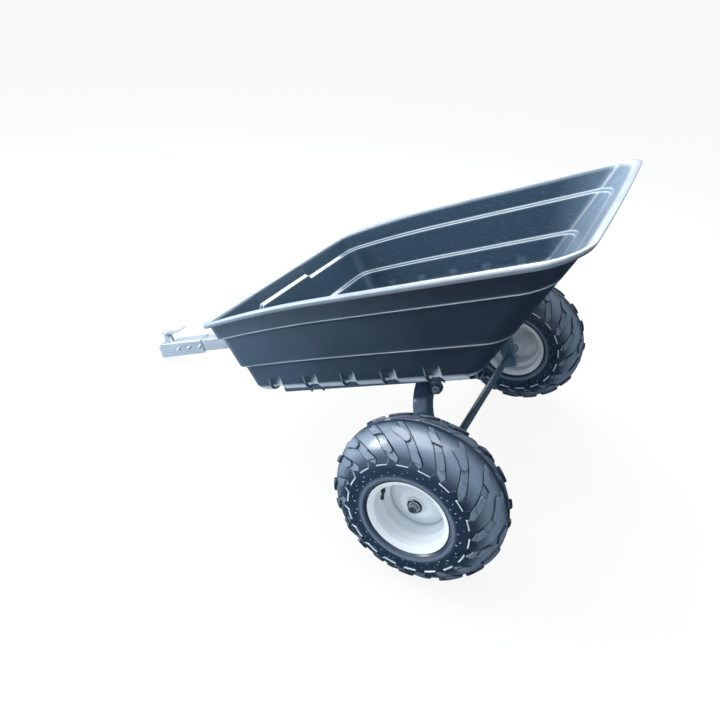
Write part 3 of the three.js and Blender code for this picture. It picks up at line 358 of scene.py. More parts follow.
# painted light: the inside of the same shell gets a paler tone of its own than the outside's rear, for the
# light that falls into the tub
body_colour = add_node(tree, "ShaderNodeMix", {
    0: in_tub, 6: outer_colour, 7: linear("#32485b")}, data_type="RGBA")
# the scratches and the painted reflection both lighten the colour towards #8095aa
scratched_and_reflecting = add_node(tree, "ShaderNodeMix", {
    0: scratches_and_reflection_in, 6: body_colour, 7: linear("#8095aa")}, data_type="RGBA")
# painted highlights: the points' highlight values, broken up by the clouds, lighten the colour towards
# #d0dde7
painted_highlight = add_node(tree, "ShaderNodeAttribute", attribute_name="painted_highlight").outputs["Fac"]
patchy = add_node(tree, "ShaderNodeMapRange", {
    "Value": clouds, "From Min": 0.3, "From Max": 0.7, "To Min": 0.75, "To Max": 1.0})
highlight_here = add_node(tree, "ShaderNodeMath", {0: painted_highlight, 1: patchy}, operation="MULTIPLY")
edge_colour = add_node(tree, "ShaderNodeMix", {
    0: highlight_here, 6: scratched_and_reflecting, 7: linear("#d0dde7")}, data_type="RGBA")
set_inputs(tree, shader, {
    "Base Color": edge_colour, "Roughness": 0.3, "IOR": 1.51,
    "Normal": rippled(tree, place, 480.0, 2.0, 0.3, 0.0004), "Coat Weight": 0.7, "Coat Roughness": 0.25})
settle(tub, polyethylene, "tipping_tub", "tub", smooth=50)

# ---------------------------------------------------------------- rail frame and pivots
# Two 40 mm square tubes under the tub with two cross tubes between them, ears that hang from
# them and brackets on the hoop: mild steel, welded up, and powder coated gloss black.


def clouded(tree, place, noise, dark, pale, gloss):
    """A colour that drifts from dark to pale in soft clouds, and a roughness that drifts with it."""
    clouds = add_node(tree, "ShaderNodeTexNoise", {"Vector": place, **noise})
    colour = add_node(tree, "ShaderNodeMix", {0: clouds, 6: linear(dark), 7: linear(pale)}, data_type="RGBA")
    rough = add_node(tree, "ShaderNodeMapRange", {
        "Value": clouds, "From Min": 0.3, "From Max": 0.7, "To Min": gloss[0], "To Max": gloss[1]})
    return colour, rough


# Powder coat: a deep blue-black gloss that takes the sky's colour, clouded over about 33 mm, with
# an orange peel of 2 to 3 mm in its highlights and a thin bright line along its edges.
powder_coat, tree, shader, place = new_material("black powder coat")
coat_cloud = {"Scale": 30.0, "Detail": 4.0}
coat_colour, coat_gloss = clouded(tree, place, coat_cloud, "#3c5268", "#56718b", (0.2, 0.34))
soft_edge = add_node(tree, "ShaderNodeBevel", {"Radius": 0.0012}, samples=4)
set_inputs(tree, shader, {
    "Base Color": coat_colour, "Roughness": coat_gloss,
    "Normal": rippled(tree, place, 420.0, 1.0, 0.12, 0.0004, Normal=soft_edge), "Coat Weight": 0.8,
    "Coat Roughness": 0.1})


def paint_nodes(material, *names):
    """Gives CAD nodes whose shape stays their finish."""
    for name in names:
        node = frame["nodes"][name]
        node.data.materials.clear()
        node.data.materials.append(material)


def smoothed_copy(name, node, material, body, edge):
    """A piece made from a CAD node's own shape, with its edges broken by a bevel in metres."""
    piece = edited(new_object(name, frame["nodes"][node].data.copy()),
                   (bpy.ops.mesh.remove_doubles, {"threshold": 0.00001}),
                   (bpy.ops.mesh.dissolve_limited, {"angle_limit": math.radians(1)}))
    rounding = piece.modifiers.new("edge", "BEVEL")
    rounding.width, rounding.segments = edge, 2
    rounding.limit_method, rounding.angle_limit = "ANGLE", math.radians(38)
    bpy.ops.object.modifier_apply(modifier="edge")
    finish(piece, material, body, node, 40)


paint_nodes(powder_coat, "left_rail", "right_rail", "front_cross_member", "rear_cross_member",
            "left_pivot_bracket", "right_pivot_bracket")
for side in ("left", "right"):
    smoothed_copy(f"{side}_ear_plate", f"{side}_rail_ear", powder_coat, "tipping_tub", 0.0012)
smoothed_copy("striker_bar", "striker", powder_coat, "tipping_tub", 0.0008)

# ---------------------------------------------------------------- axle hoop
# One 45 mm square tube bent into a hoop, open below, with 110 mm bends and a round in its
# corners: the axle goes through its two legs, and it is powder coated as the rails are.
TUBE, TUBE_WALL, TUBE_ROUND = 45, 3, 6
HOOP_HALF, HOOP_TOP, HOOP_BEND, LEG_BELOW = 396, 258, 110, 40      # legs end below the axle


def bent_line(*corners):
    """Points and directions along straight lines joined by bends: corners as (point, radius)."""
    places = [Vector(point) for point, _ in corners]
    line = [(places[0], (places[1] - places[0]).normalized())]
    for k in range(1, len(places) - 1):
        before = (places[k] - places[k - 1]).normalized()
        after = (places[k + 1] - places[k]).normalized()
        turn = before.angle(after)
        radius = corners[k][1]
        start = places[k] - before * radius * math.tan(turn / 2)
        inward = (after - before * before.dot(after)).normalized()
        steps = max(3, round(turn / math.radians(4.5)))
        for step in range(steps + 1):
            a = turn * step / steps
            line.append((start + before * radius * math.sin(a) + inward * radius * (1 - math.cos(a)),
                         before * math.cos(a) + inward * math.sin(a)))
    return line + [(places[-1], (places[-1] - places[-2]).normalized())]


def square_tube(name, line, flat, size, wall, corner):
    """A square tube along a line that lies in the plane square to flat, open at both ends."""
    profile = []
    for half, r in ((size / 2, corner), (size / 2 - wall, max(1, corner - wall))):
        for quarter in range(4):
            for step in range(6):
                a = math.pi / 2 * (quarter + step / 5)
                cx, cy = [(1, 1), (-1, 1), (-1, -1), (1, -1)][quarter]
                profile.append((cx * (half - r) + r * math.cos(a), cy * (half - r) + r * math.sin(a)))
    flat = Vector(flat)
    points, faces, ring = [], [], len(profile) // 2
    for place, along in line:
        across = flat.cross(along)
        points += [place + across * u + flat * v for u, v in profile]
    for k in range(len(line) - 1):
        for shell in (0, ring):
            for j in range(ring):
                a, b = k * 2 * ring + shell + j, k * 2 * ring + shell + (j + 1) % ring
                faces.append((a, b, b + 2 * ring, a + 2 * ring))
    for start in (0, (len(line) - 1) * 2 * ring):
        for j in range(ring):
            a, b = start + j, start + (j + 1) % ring
            faces.append((a, b, b + ring, a + ring))
    return mesh_object(name, points, faces)


leg, top = HOOP_HALF - TUBE / 2, HOOP_TOP - TUBE / 2
hoop_line = bent_line(((0, -leg, -LEG_BELOW), 0), ((0, -leg, top), HOOP_BEND - TUBE / 2),
                      ((0, leg, top), HOOP_BEND - TUBE / 2), ((0, leg, -LEG_BELOW), 0))
hoop = square_tube("hoop_tube", hoop_line, (1, 0, 0), TUBE, TUBE_WALL, TUBE_ROUND)
settle(hoop, powder_coat, "chassis", "axle_hoop")

# ---------------------------------------------------------------- drawbar and gusset plate
# A 50 mm square tube with two easy bends that lift its front end to the ball coupler, and a
# 6 mm plate that ties it to the hoop: both plated with bright zinc.

# Zinc plate: a pale, slightly blue metal, clouded over about 38 mm in its colour and gloss, with
# a grain of 1.4 mm that breaks its highlights up and edges that catch the light.
zinc_plate, tree, shader, place = new_material("bright zinc plate")
zinc_cloud = {"Scale": 26.0, "Detail": 5.0, "Roughness": 0.65}
zinc_colour, zinc_gloss = clouded(tree, place, zinc_cloud, "#c2ccd5", "#e6ecf1", (0.26, 0.42))
zinc_edge = add_node(tree, "ShaderNodeBevel", {"Radius": 0.0008}, samples=4)
set_inputs(tree, shader, {
    "Base Color": zinc_colour, "Roughness": zinc_gloss, "Metallic": 0.85,
    "Normal": rippled(tree, place, 700.0, 2.0, 0.15, 0.0003, Normal=zinc_edge)})

BAR, BAR_WALL, BAR_ROUND, BAR_BEND = 50, 3, 6, 130
BAR_Z, BAR_Z_FRONT = 233, 327
BAR_FRONT, CRANK_FRONT, CRANK_REAR = -1234, -720, -500
SEAT = 0.3                                       # between parts that lie on each other
bar_line = bent_line(((BAR_FRONT, 0, BAR_Z_FRONT), 0), ((CRANK_FRONT, 0, BAR_Z_FRONT), BAR_BEND),
                     ((CRANK_REAR, 0, BAR_Z), BAR_BEND), ((-TUBE / 2 - SEAT, 0, BAR_Z), 0))
drawbar = square_tube("drawbar_tube", bar_line, (0, 1, 0), BAR, BAR_WALL, BAR_ROUND)
settle(drawbar, zinc_plate, "chassis", "drawbar")
smoothed_copy("gusset", "gusset_plate", zinc_plate, "chassis", 0.001)

# ---------------------------------------------------------------- ball coupler
# A pressed steel channel with a domed socket for a 50 mm ball, a cam lever, and a lock bolt
# that pulls a jaw up under the ball: zinc plated, with the spring left bright.
smoothed_copy("coupler_shell", "coupler_body", zinc_plate, "chassis", 0.0012)
smoothed_copy("cam_lever", "coupler_lever", zinc_plate, "lever", 0.0015)
smoothed_copy("ball_jaw", "ball_clamp", zinc_plate, "clamp", 0.001)
smoothed_copy("lever_rivet", "lever_pin", zinc_plate, "chassis", 0.0006)
smoothed_copy("lock_stud", "lock_bolt", zinc_plate, "clamp", 0.0006)

# Ground steel: the spring's bright wire, with fine lines that draw its highlight out.
ground_steel, tree, shader, place = new_material("ground steel")
turned_way = add_node(tree, "ShaderNodeMapping", {"Vector": place, "Scale": (1.0, 12.0, 1.0)})
lines = add_node(tree, "ShaderNodeTexNoise", {"Vector": turned_way, "Scale": 160.0, "Detail": 3.0})
steel_gloss = add_node(tree, "ShaderNodeMapRange", {
    "Value": lines, "From Min": 0.3, "From Max": 0.7, "To Min": 0.2, "To Max": 0.36})
set_inputs(tree, shader, {
    "Base Color": linear("#b9c2cb"), "Metallic": 1.0, "Roughness": steel_gloss,
    "Normal": rippled(tree, turned_way, 160.0, 3.0, 0.1, 0.0002)})
paint_nodes(ground_steel, "clamp_spring")

# ---------------------------------------------------------------- foot latch
# A lever cut from 8 mm plate, with a hook that catches the striker and a pedal: powder coated.
smoothed_copy("foot_latch", "latch_lever", powder_coat, "latch", 0.0012)

# ---------------------------------------------------------------- fasteners
# Hex bolts with washers and nuts, M8 in the coupler and the gusset, M12 in the pivots and M10 in
# the latch, and domed carriage bolts through the tub: bright zinc, rolled threads, chamfered heads.


def spun(name, outline, steps=48):
    """A closed outline of (radius, height) points spun about z, with edit mode's spin."""
    around = [(k, (k + 1) % len(outline)) for k in range(len(outline))]
    piece = mesh_object(name, [(r, 0, z) for r, z in outline], [], around)
    whole_turn = {"steps": steps, "angle": 2 * math.pi, "center": (0, 0, 0), "axis": (0, 0, 1)}
    return edited(piece, (bpy.ops.mesh.spin, whole_turn), (bpy.ops.mesh.remove_doubles, {"threshold": 0.002}),
                  TURN_OUTWARDS)


def hex_prism(radius, low, high):
    """A hex head or nut across corners, its corners chamfered by a cone that narrows to its top."""
    middle = (0, 0, (low + high) / 2)
    bpy.ops.object.select_all(action="DESELECT")
    bpy.ops.mesh.primitive_cylinder_add(vertices=6, radius=radius, depth=high - low, location=middle)
    prism = bpy.context.active_object
    bpy.ops.mesh.primitive_cone_add(vertices=36, radius1=radius * 1.55, radius2=radius * 0.9,
                                    depth=high - low, location=middle)
    cone = bpy.context.active_object
    keep = prism.modifiers.new("chamfer", "BOOLEAN")
    keep.operation, keep.solver, keep.object = "INTERSECT", "EXACT", cone
    bpy.context.view_layer.objects.active = prism
    bpy.ops.object.modifier_apply(modifier="chamfer")
    bpy.data.objects.remove(cone)
    prism.data.transform(prism.matrix_world)
    prism.matrix_world = Matrix()
    return prism


def threaded(radius, low, high, pitch=1.6):
    """Outline of a shank from low to high with rolled threads, for spinning."""
    ridges = max(1, int((high - low - 2) / pitch))
    outline = [(0, low), (radius * 0.7, low)]
    for k in range(ridges):
        z = low + 1 + k * pitch
        outline += [(radius * 0.86, z), (radius, z + pitch / 2)]
    return outline + [(radius * 0.95, high), (0, high)]


def joined(name, *parts):
    """Several objects joined into the first of them."""
    bpy.ops.object.select_all(action="DESELECT")
    for part in parts:
        part.select_set(True)
    bpy.context.view_layer.objects.active = parts[0]
    bpy.ops.object.join()
    parts[0].name = name
    return parts[0]


def ring(low, high, bore, edge):
    """Outline of a flat washer between two heights."""
    return [(bore, low), (edge, low), (edge, high), (bore, high)]


def hex_bolt(name, r, grip):
    """Along z: the nut's washer ends at 0 from below, and the head's washer lies on the grip."""
    head, washer = 1.6 * r, 0.7
    shank = spun("shank", threaded(r, -head - r, grip + 1), 20)
    top = hex_prism(r * 1.6, grip + washer, grip + head)
    nut = hex_prism(r * 1.6, -head, -washer)
    nut.data.transform(Matrix.Translation((0, 0, -head - washer)) @ Matrix.Scale(-1, 4, (0, 0, 1)))
    nut.data.flip_normals()
    upper = spun("washer", ring(grip, grip + washer, r * 1.05, r * 1.95), 28)
    under = spun("washer", ring(-washer, 0, r * 1.05, r * 1.95), 28)
    return joined(name, shank, top, nut, upper, under)


def placed_copy(name, model, way):
    """A separate object with a copy of the model's mesh, moved by a matrix."""
    piece = new_object(name, model.data.copy())
    piece.data.transform(way)
    return piece


ALONG_Y, ALONG_Z = Matrix.Rotation(-math.pi / 2, 4, "X"), Matrix.Rotation(math.pi / 2, 4, "X")
SIDES = (("left", -1), ("right", 1))
SHEET, GUSSET_L, GUSSET_HALF, GUSSET_T = 4, 140, 118, 6
COUPLER_REAR, BOLT_EDGE, BOLT_PITCH = -1061, 14, 58
coupler_bolt = hex_bolt("coupler_bolt_model", 4, BAR + 2 * SHEET + 4 * SEAT)
for k in range(3):
    bolt_at = (COUPLER_REAR - BOLT_EDGE - BOLT_PITCH * k, -(BAR / 2 + SHEET + 2 * SEAT), BAR_Z_FRONT)
    bolt = placed_copy(f"coupler_hex_bolt_{k + 1}", coupler_bolt, Matrix.Translation(bolt_at) @ ALONG_Y)
    settle(bolt, zinc_plate, "chassis", f"coupler_bolt_{k + 1}")
bpy.data.objects.remove(coupler_bolt)

through_bar = [(-0.41 * GUSSET_L, 0, BAR), (-0.8 * GUSSET_L, 0, BAR)]
through_hoop = [(0, -0.61 * GUSSET_HALF, TUBE), (0, 0.61 * GUSSET_HALF, TUBE)]
for k, (x, y, tube) in enumerate(through_bar + through_hoop):
    bolt = hex_bolt(f"gusset_hex_bolt_{k + 1}", 4, tube + GUSSET_T + 3 * SEAT)
    bolt.data.transform(Matrix.Translation((x, y, HOOP_TOP - tube - SEAT)))
    settle(bolt, zinc_plate, "chassis", f"gusset_bolt_{k + 1}")

RAIL_LOW, RAIL_Y = HOOP_TOP + SEAT, 330
PIVOT_X, PIVOT_DROP, PIVOT_GRIP = 42, 28, 21.2
for side, s in SIDES:
    bolt = hex_bolt(f"{side}_pivot_hex_bolt", 6, PIVOT_GRIP)
    pivot_at = (PIVOT_X, s * RAIL_Y - PIVOT_GRIP / 2, RAIL_LOW - PIVOT_DROP)
    bolt.data.transform(Matrix.Translation(pivot_at) @ ALONG_Y)
    settle(bolt, zinc_plate, "chassis", f"{side}_pivot_bolt")

LATCH_X, LATCH_LOW, LATCH_STACK = -474, 12, 20   # the stack is the lever and what lies beside it
bolt = hex_bolt("latch_hex_bolt", 5, BAR + LATCH_STACK)
bolt.data.transform(Matrix.Translation((LATCH_X, -BAR / 2 - 0.4, BAR_Z - LATCH_LOW)) @ ALONG_Y)
settle(bolt, zinc_plate, "chassis", "latch_bolt")

BED = FLOOR_Z + WALL + SEAT                      # underside of the domed heads, on the tub's floor
dome = arc(6, lambda t: (8.8 * math.cos(t), BED + 1.2 + 3.2 * math.sin(t)))
carriage = joined("carriage_bolt_model",
                  spun("dome", [(0, BED), (8.6, BED)] + dome, 36),
                  spun("shank", threaded(4, RAIL_LOW - 12, FLOOR_Z + WALL + 1), 20),
                  hex_prism(6.5, RAIL_LOW - 6.8, RAIL_LOW - 1),
                  spun("washer", ring(RAIL_LOW - 1, RAIL_LOW - SEAT, 4.2, 8.4), 28))
for side, s in SIDES:
    for k, share in enumerate((0.32, 0.66, 3.73)):
        bolt_at = (GROOVE_FIRST + GROOVE_PITCH * share, s * RAIL_Y, 0)
        bolt = placed_copy(f"{side}_carriage_bolt_{k + 1}", carriage, Matrix.Translation(bolt_at))
        settle(bolt, zinc_plate, "tipping_tub", f"{side}_tub_bolt_{k + 1}")
bpy.data.objects.remove(carriage)

# ---------------------------------------------------------------- axle
# A 25 mm steel bar through both legs, black outside and ground bright at its ends, with a
# plated spacer tube, a washer and a split pin that keep each wheel on it.

# Black axle: dull blue-black between the wheels, ground to bright metal at both ends, and
# machining marks about 3 mm apart in its gloss.
AXLE_R, AXLE_HALF = 12.5, 574
BARE_FROM = 0.5545                               # metres from the middle of the axle
axle_paint, tree, shader, place = new_material("black axle with ground ends")
sideways = add_node(tree, "ShaderNodeSeparateXYZ", {0: place}).outputs["Y"]
from_middle = add_node(tree, "ShaderNodeMath", {0: sideways}, operation="ABSOLUTE")
bare = add_node(tree, "ShaderNodeMath", {0: from_middle, 1: BARE_FROM}, operation="GREATER_THAN")
machining = add_node(tree, "ShaderNodeTexNoise", {"Vector": place, "Scale": 300.0, "Detail": 2.0})
end_colour = add_node(tree, "ShaderNodeMix", {
    0: bare, 6: linear("#4c6478"), 7: linear("#aab4bd")}, data_type="RGBA")
axle_gloss = add_node(tree, "ShaderNodeMapRange", {
    "Value": machining, "From Min": 0.3, "From Max": 0.7, "To Min": 0.22, "To Max": 0.36})
set_inputs(tree, shader, {"Base Color": end_colour, "Metallic": bare, "Roughness": axle_gloss})
bored = [(0, AXLE_HALF - 13), (8.4, AXLE_HALF - 12), (8.6, AXLE_HALF - 0.8), (9.4, AXLE_HALF),
         (AXLE_R - 1.2, AXLE_HALF), (AXLE_R, AXLE_HALF - 1.2)]
axle_bar = spun("axle_bar", [(r, -z) for r, z in bored] + bored[::-1], 64)
axle_bar.data.transform(ALONG_Y)
settle(axle_bar, axle_paint, "chassis", "axle")
for side in ("left", "right"):
    smoothed_copy(f"{side}_spacer_tube", f"{side}_spacer", zinc_plate, "chassis", 0.0006)
paint_nodes(zinc_plate, "left_split_pin", "right_split_pin")

# ---------------------------------------------------------------- wheels: rim, hub and valve
# A pressed steel rim with two bead seats, a drop centre and a stepped dish, welded to a tube
# hub with a sealed bearing in each end, painted silver white; a snap-in rubber valve.
TRACK = 1038
WHEEL_OUT = {"left": Matrix.Translation((0, -TRACK / 2, 0)) @ Matrix.Scale(-1, 4, (0, 1, 0)),
             "right": Matrix.Translation((0, TRACK / 2, 0))}


def both_wheels(name, model, material, node, smooth=35):
    """Copies a piece modelled outboard along +z to both wheels, turned to face outboard."""
    for side, way in WHEEL_OUT.items():
        piece = placed_copy(f"{side}_{name}", model, way @ ALONG_Y)
        if side == "left":
            piece.data.flip_normals()
        settle(piece, material, f"{side}_wheel", f"{side}_{node}", smooth=smooth)
    bpy.data.objects.remove(model)


def eased(outline, radius, steps=4):
    """A closed outline with each corner rounded, as far as its sides allow."""
    points = []
    for k, corner in enumerate(outline):
        here, before = Vector(corner), Vector(outline[k - 1])
        after = Vector(outline[(k + 1) % len(outline)])
        back, on = before - here, after - here
        turn = back.angle(on)
        reach = min(radius / max(0.05, math.tan(turn / 2)), 0.42 * back.length, 0.42 * on.length)
        start, end = here + back.normalized() * reach, here + on.normalized() * reach
        for step in range(steps + 1):
            t = step / steps
            points.append(tuple(start * (1 - t) ** 2 + here * 2 * t * (1 - t) + end * t * t))
    return points


# Silver white paint: an even, nearly white satin film, with painted shade that greys it in the creases
# and nooks, soft clouds of about 55 mm and a faint flake of 1 mm.
silver_paint, tree, shader, place = new_material("silver white wheel paint")
film_cloud = {"Scale": 18.0, "Detail": 4.0}
film_colour, film_gloss = clouded(tree, place, film_cloud, "#e3e9ed", "#ebf0f3", (0.28, 0.32))
# painted shade: ambient occlusion greys the paint in the nooks
nooks = add_node(tree, "ShaderNodeAmbientOcclusion", {"Distance": 0.014}, samples=8, only_local=True)
open_to_air = nooks.outputs["AO"]
unshaded = add_node(tree, "ShaderNodeMapRange", {"Value": open_to_air, "From Min": 0.3, "From Max": 0.7})
nook_shaded = add_node(tree, "ShaderNodeMix", {0: unshaded, 6: linear("#a9b5be"), 7: film_colour}, data_type="RGBA")
# painted shade: sharp inward bends are greyed too
bends = add_node(tree, "ShaderNodeNewGeometry").outputs["Pointiness"]
creases = add_node(tree, "ShaderNodeMapRange", {"Value": bends, "From Min": 0.46, "From Max": 0.497})
crease_shaded = add_node(tree, "ShaderNodeMix", {0: creases, 6: linear("#a3afb9"), 7: nook_shaded}, data_type="RGBA")
set_inputs(tree, shader, {
    "Base Color": crease_shaded, "Roughness": film_gloss, "Normal": rippled(tree, place, 900.0, 1.0, 0.08, 0.0003)})

# in (radius, way out): flange, bead seats and drop centre outside, then the same inside with the dish
RIM_OUTLINE = [(115, -91), (101.5, -82), (101.5, -58), (86, -46), (86, 18), (94, 31), (94, 42), (101.5, 58),
               (101.5, 82), (115, 91),
               (112, 91), (98.5, 82), (98.5, 60), (91, 43), (91, 32), (83, 18), (80, 8), (62, 12), (44, 26),
               (26.3, 33), (26.3, 30), (43, 23), (61, 8), (83, 0), (83, -45), (98.5, -57), (98.5, -82),
               (112, -91)]
rim = spun("rim_model", eased(RIM_OUTLINE, 2.4), 128)
both_wheels("rim_disc", rim, silver_paint, "rim")
hub = spun("hub_model", eased([(20.6, -90), (26, -90), (26, 37), (20.6, 37)], 1.2), 64)
both_wheels("hub_tube", hub, silver_paint, "hub")


def from_axle(tree, place):
    """Distance from the axle's middle line, in metres."""
    axle = (axle_at[0], 0, axle_at[2])
    about = add_node(tree, "ShaderNodeVectorMath", {0: place, 1: axle}, operation="SUBTRACT")
    flat = add_node(tree, "ShaderNodeVectorMath", {0: about, 1: (1, 0, 1)}, operation="MULTIPLY")
    return add_node(tree, "ShaderNodeVectorMath", {0: flat}, operation="LENGTH").outputs["Value"]


# Sealed ball bearing: bright races with a black rubber seal let in between them.
seal_steel, tree, shader, place = new_material("bearing races and rubber seal")
out_from = from_axle(tree, place)
past_inner = add_node(tree, "ShaderNodeMath", {0: out_from, 1: 0.0145}, operation="GREATER_THAN")
in_outer = add_node(tree, "ShaderNodeMath", {0: out_from, 1: 0.0188}, operation="LESS_THAN")
on_seal = add_node(tree, "ShaderNodeMath", {0: past_inner, 1: in_outer}, operation="MULTIPLY")
not_seal = add_node(tree, "ShaderNodeMath", {0: 1.0, 1: on_seal}, operation="SUBTRACT")
race_colour = add_node(tree, "ShaderNodeMix", {
    0: on_seal, 6: linear("#b4bdc6"), 7: linear("#15181b")}, data_type="RGBA")
set_inputs(tree, shader, {"Base Color": race_colour, "Metallic": not_seal, "Roughness": 0.32})
BEARING_W = 16
half_race = [(12.8, 0), (14.5, 0), (14.7, 0.7), (18.6, 0.7), (18.8, 0), (20.3, 0)]
for which, low in (("inner", -90), ("outer", 21)):
    race = [(r, low + z) for r, z in half_race] + [(r, low + BEARING_W - z) for r, z in reversed(half_race)]
    bearing = spun("bearing_model", race, 64)
    both_wheels(f"{which}_ball_bearing", bearing, seal_steel, f"{which}_bearing")

# Bonded washer: plated steel with a black rubber ring round it, on the chassis beside the hub.
bonded, tree, shader, place = new_material("plated washer with rubber ring")
on_rubber = add_node(tree, "ShaderNodeMath", {0: from_axle(tree, place), 1: 0.0165}, operation="GREATER_THAN")
washer_colour = add_node(tree, "ShaderNodeMix", {
    0: on_rubber, 6: linear("#e9eef2"), 7: linear("#0f1215")}, data_type="RGBA")
set_inputs(tree, shader, {"Base Color": washer_colour, "Metallic": 0.3, "Roughness": 0.3})
WASHER_AT = 556.3
washer_face = [(12.9, 0), (19.6, 0), (20, 0.4), (20, 2.6), (19.6, 3), (16.9, 3), (16.7, 2.4), (16.3, 2.4),
               (16.1, 3), (12.9, 3)]
for side, s in SIDES:
    washer = spun(f"{side}_bonded_washer", [(r, WASHER_AT + z) for r, z in washer_face], 64)
    washer.data.transform(Matrix.Rotation(-s * math.pi / 2, 4, "X"))
    settle(washer, bonded, "chassis", f"{side}_washer")

# Valve rubber: soft matt black with grey dust in spots of about 5 mm.
valve_rubber, tree, shader, place = new_material("valve rubber")
dust = add_node(tree, "ShaderNodeTexNoise", {"Vector": place, "Scale": 200.0, "Detail": 3.0})
dust_colour = add_node(tree, "ShaderNodeMix", {
    0: dust, 6: linear("#14171a"), 7: linear("#2b3138")}, data_type="RGBA")
set_inputs(tree, shader, {"Base Color": dust_colour, "Roughness": 0.55})
VALVE_TURN, VALVE_R, VALVE_OUT, VALVE_TILT = 223.5, 95.5, 45, 20
VALVE_WAY = (Matrix.Rotation(math.radians(VALVE_TURN), 4, "Y") @ Matrix.Translation((VALVE_R, VALVE_OUT, 0))
             @ Matrix.Rotation(math.radians(VALVE_TILT), 4, "Z") @ ALONG_Y)
stem = [(0, -7), (4.8, -7), (4.9, 12.5), (6.5, 14.2), (6.4, 17), (4.7, 20), (4.1, 23), (4.1, 31.4)]
cap = [(4.7, 32), (4.3, 32.6), (4.7, 33.3), (4.3, 34), (4.7, 34.7), (4.3, 35.4), (4.7, 36.1), (4.7, 41.5),
       (4.2, 42.8), (0, 43)]
valve = spun("valve_model", stem + cap, 32)
valve.data.transform(ALONG_Z @ VALVE_WAY)
both_wheels("valve_stem", valve, valve_rubber, "valve", smooth=50)

# ---------------------------------------------------------------- wheels: tyre
# A 20 inch balloon tyre of black rubber: a smooth carcass, thin broad plates moulded on its
# tread, and swept bars let in between them that carry two tall knobs each, in turn of two kinds.
TYRE_HALF, TYRE_BELLY, TYRE_ROOT = 97.5, 140, 239
BARS, APEX = 18, 51.3                            # the first bar's apex stands so many degrees round
BEAD_R, BEAD_RING = 101.8, 129
BAR_TALL, INNER_TALL, OUTER_TALL = 3, 10.4, (8.6, 7.2)

section = []                                     # across the tread from its middle line: length, y, radius
for k in range(241):
    share = math.sin(math.pi / 2 * k / 240)
    y = share * TYRE_HALF
    r = TYRE_BELLY + (TYRE_ROOT - TYRE_BELLY) * math.sqrt(max(0, 1 - share ** 1.8))
    length = section[-1][0] + math.hypot(y - section[-1][1], r - section[-1][2]) if section else 0
    section.append((length, y, r))


def on_tread(length, degrees, height):
    """The point at a length across the tread, an angle round it and a height off it."""
    k = next((n for n in range(1, len(section)) if section[n][0] >= abs(length)), len(section) - 1)
    (l0, y0, r0), (l1, y1, r1) = section[k - 1], section[k]
    t = (abs(length) - l0) / (l1 - l0)
    run = math.hypot(y1 - y0, r1 - r0)
    y = y0 + (y1 - y0) * t - (r1 - r0) / run * height
    r = r0 + (r1 - r0) * t + (y1 - y0) / run * height
    a = math.radians(degrees)
    return (r * math.cos(a), math.copysign(y, length) if length else y, r * math.sin(a))


def slab(flank, apex, rows, edge, across, gap=0.0, sides=(0.0, 0.0), white_edge_from=999):
    """A raised slab of tread: rows of length, both sides in degrees, height and painted sheen of its top."""
    points, faces, sheens = [], [], []
    for length, left, right, height, sheen in rows:
        per_mm = math.degrees(1 / next((r for l, _, r in section if l >= length), TYRE_BELLY))
        left, right = left - gap * per_mm, right + gap * per_mm
        inset = min(edge, (left - right) / per_mm / 3)
        places = [(left + 0.6 * per_mm, -1.5, 0), (left, height - inset, sides[0])]
        for k in range(across + 1):
            along = (left - right - 2 * inset * per_mm) * k / across
            places.append((left - inset * per_mm - along, height, sheen))
        # the right side's bevel is painted white as a highlight beyond the given length
        places.append((right, height - inset, 1.0 if length > white_edge_from else sides[1]))
        places.append((right - 0.6 * per_mm, -1.5, 0))
        for angle, up, shine in places:
            points.append(on_tread(flank * length, apex + angle, up if height > 0 else -1.5))
            # where the top is painted white, its bevels are painted white too
            sheens.append(max(shine, sheen) if sheen > 0.9 and up > -1 else shine)
    ring = across + 5
    for k in range(len(rows) - 1):
        for j in range(ring - 1):
            corner = k * ring + j
            faces.append((corner, corner + 1, corner + 1 + ring, corner + ring))
        faces.append((k * ring + ring - 1, k * ring, (k + 1) * ring, (k + 1) * ring + ring - 1))
    faces += [tuple(range(ring - 1, -1, -1)), tuple(range(len(rows) * ring - ring, len(rows) * ring))]
    return points, faces, sheens


def closed_rows(rows, height, sheen, run=1.4):
    """Rows of length and both sides, with a height and painted sheen, closed by a slope at both ends."""
    (l0, a0, b0), (l1, a1, b1) = rows[0], rows[-1]
    low = [(l0 - run - 0.5, a0, b0, -1, 0), (l0 - run, a0, b0, height - run, 0)]
    high = [(l1 + run, a1, b1, height - run, 0), (l1 + run + 0.5, a1, b1, -1, 0)]
    return low + [(l, a, b, height, sheen) for l, a, b in rows] + high


bar_left = lambda l: 18.4 - 0.194 * l
bar_right = lambda l: 14.4 - 0.238 * l
PITCH = 360 / BARS
# each outline below runs outwards over the tread in (length, one side, other side), sides in degrees;
# a plate fills the room between two bars and ends in a trimmed edge on the shoulder
sides = lambda l: (bar_right(l) + PITCH, bar_left(l))
# painted sheen on the plates' tops: brightest from about 34 to 66 mm out, fading towards the middle line and
# to none at 108 mm
plate_sheen = lambda l: 0.35 * clamp(0.15 + (l - 8) / 30) * clamp(1 - (l - 66) / 42)
plate = [(5.5, *sides(8), -1, 0), (6, *sides(8), 1.6, 0)]
plate += [(l, *sides(l), 3, plate_sheen(l)) for l in (8, 12, 20, 30, 40, 50, 60, 70, 80, 89, 97, 104, 107)]
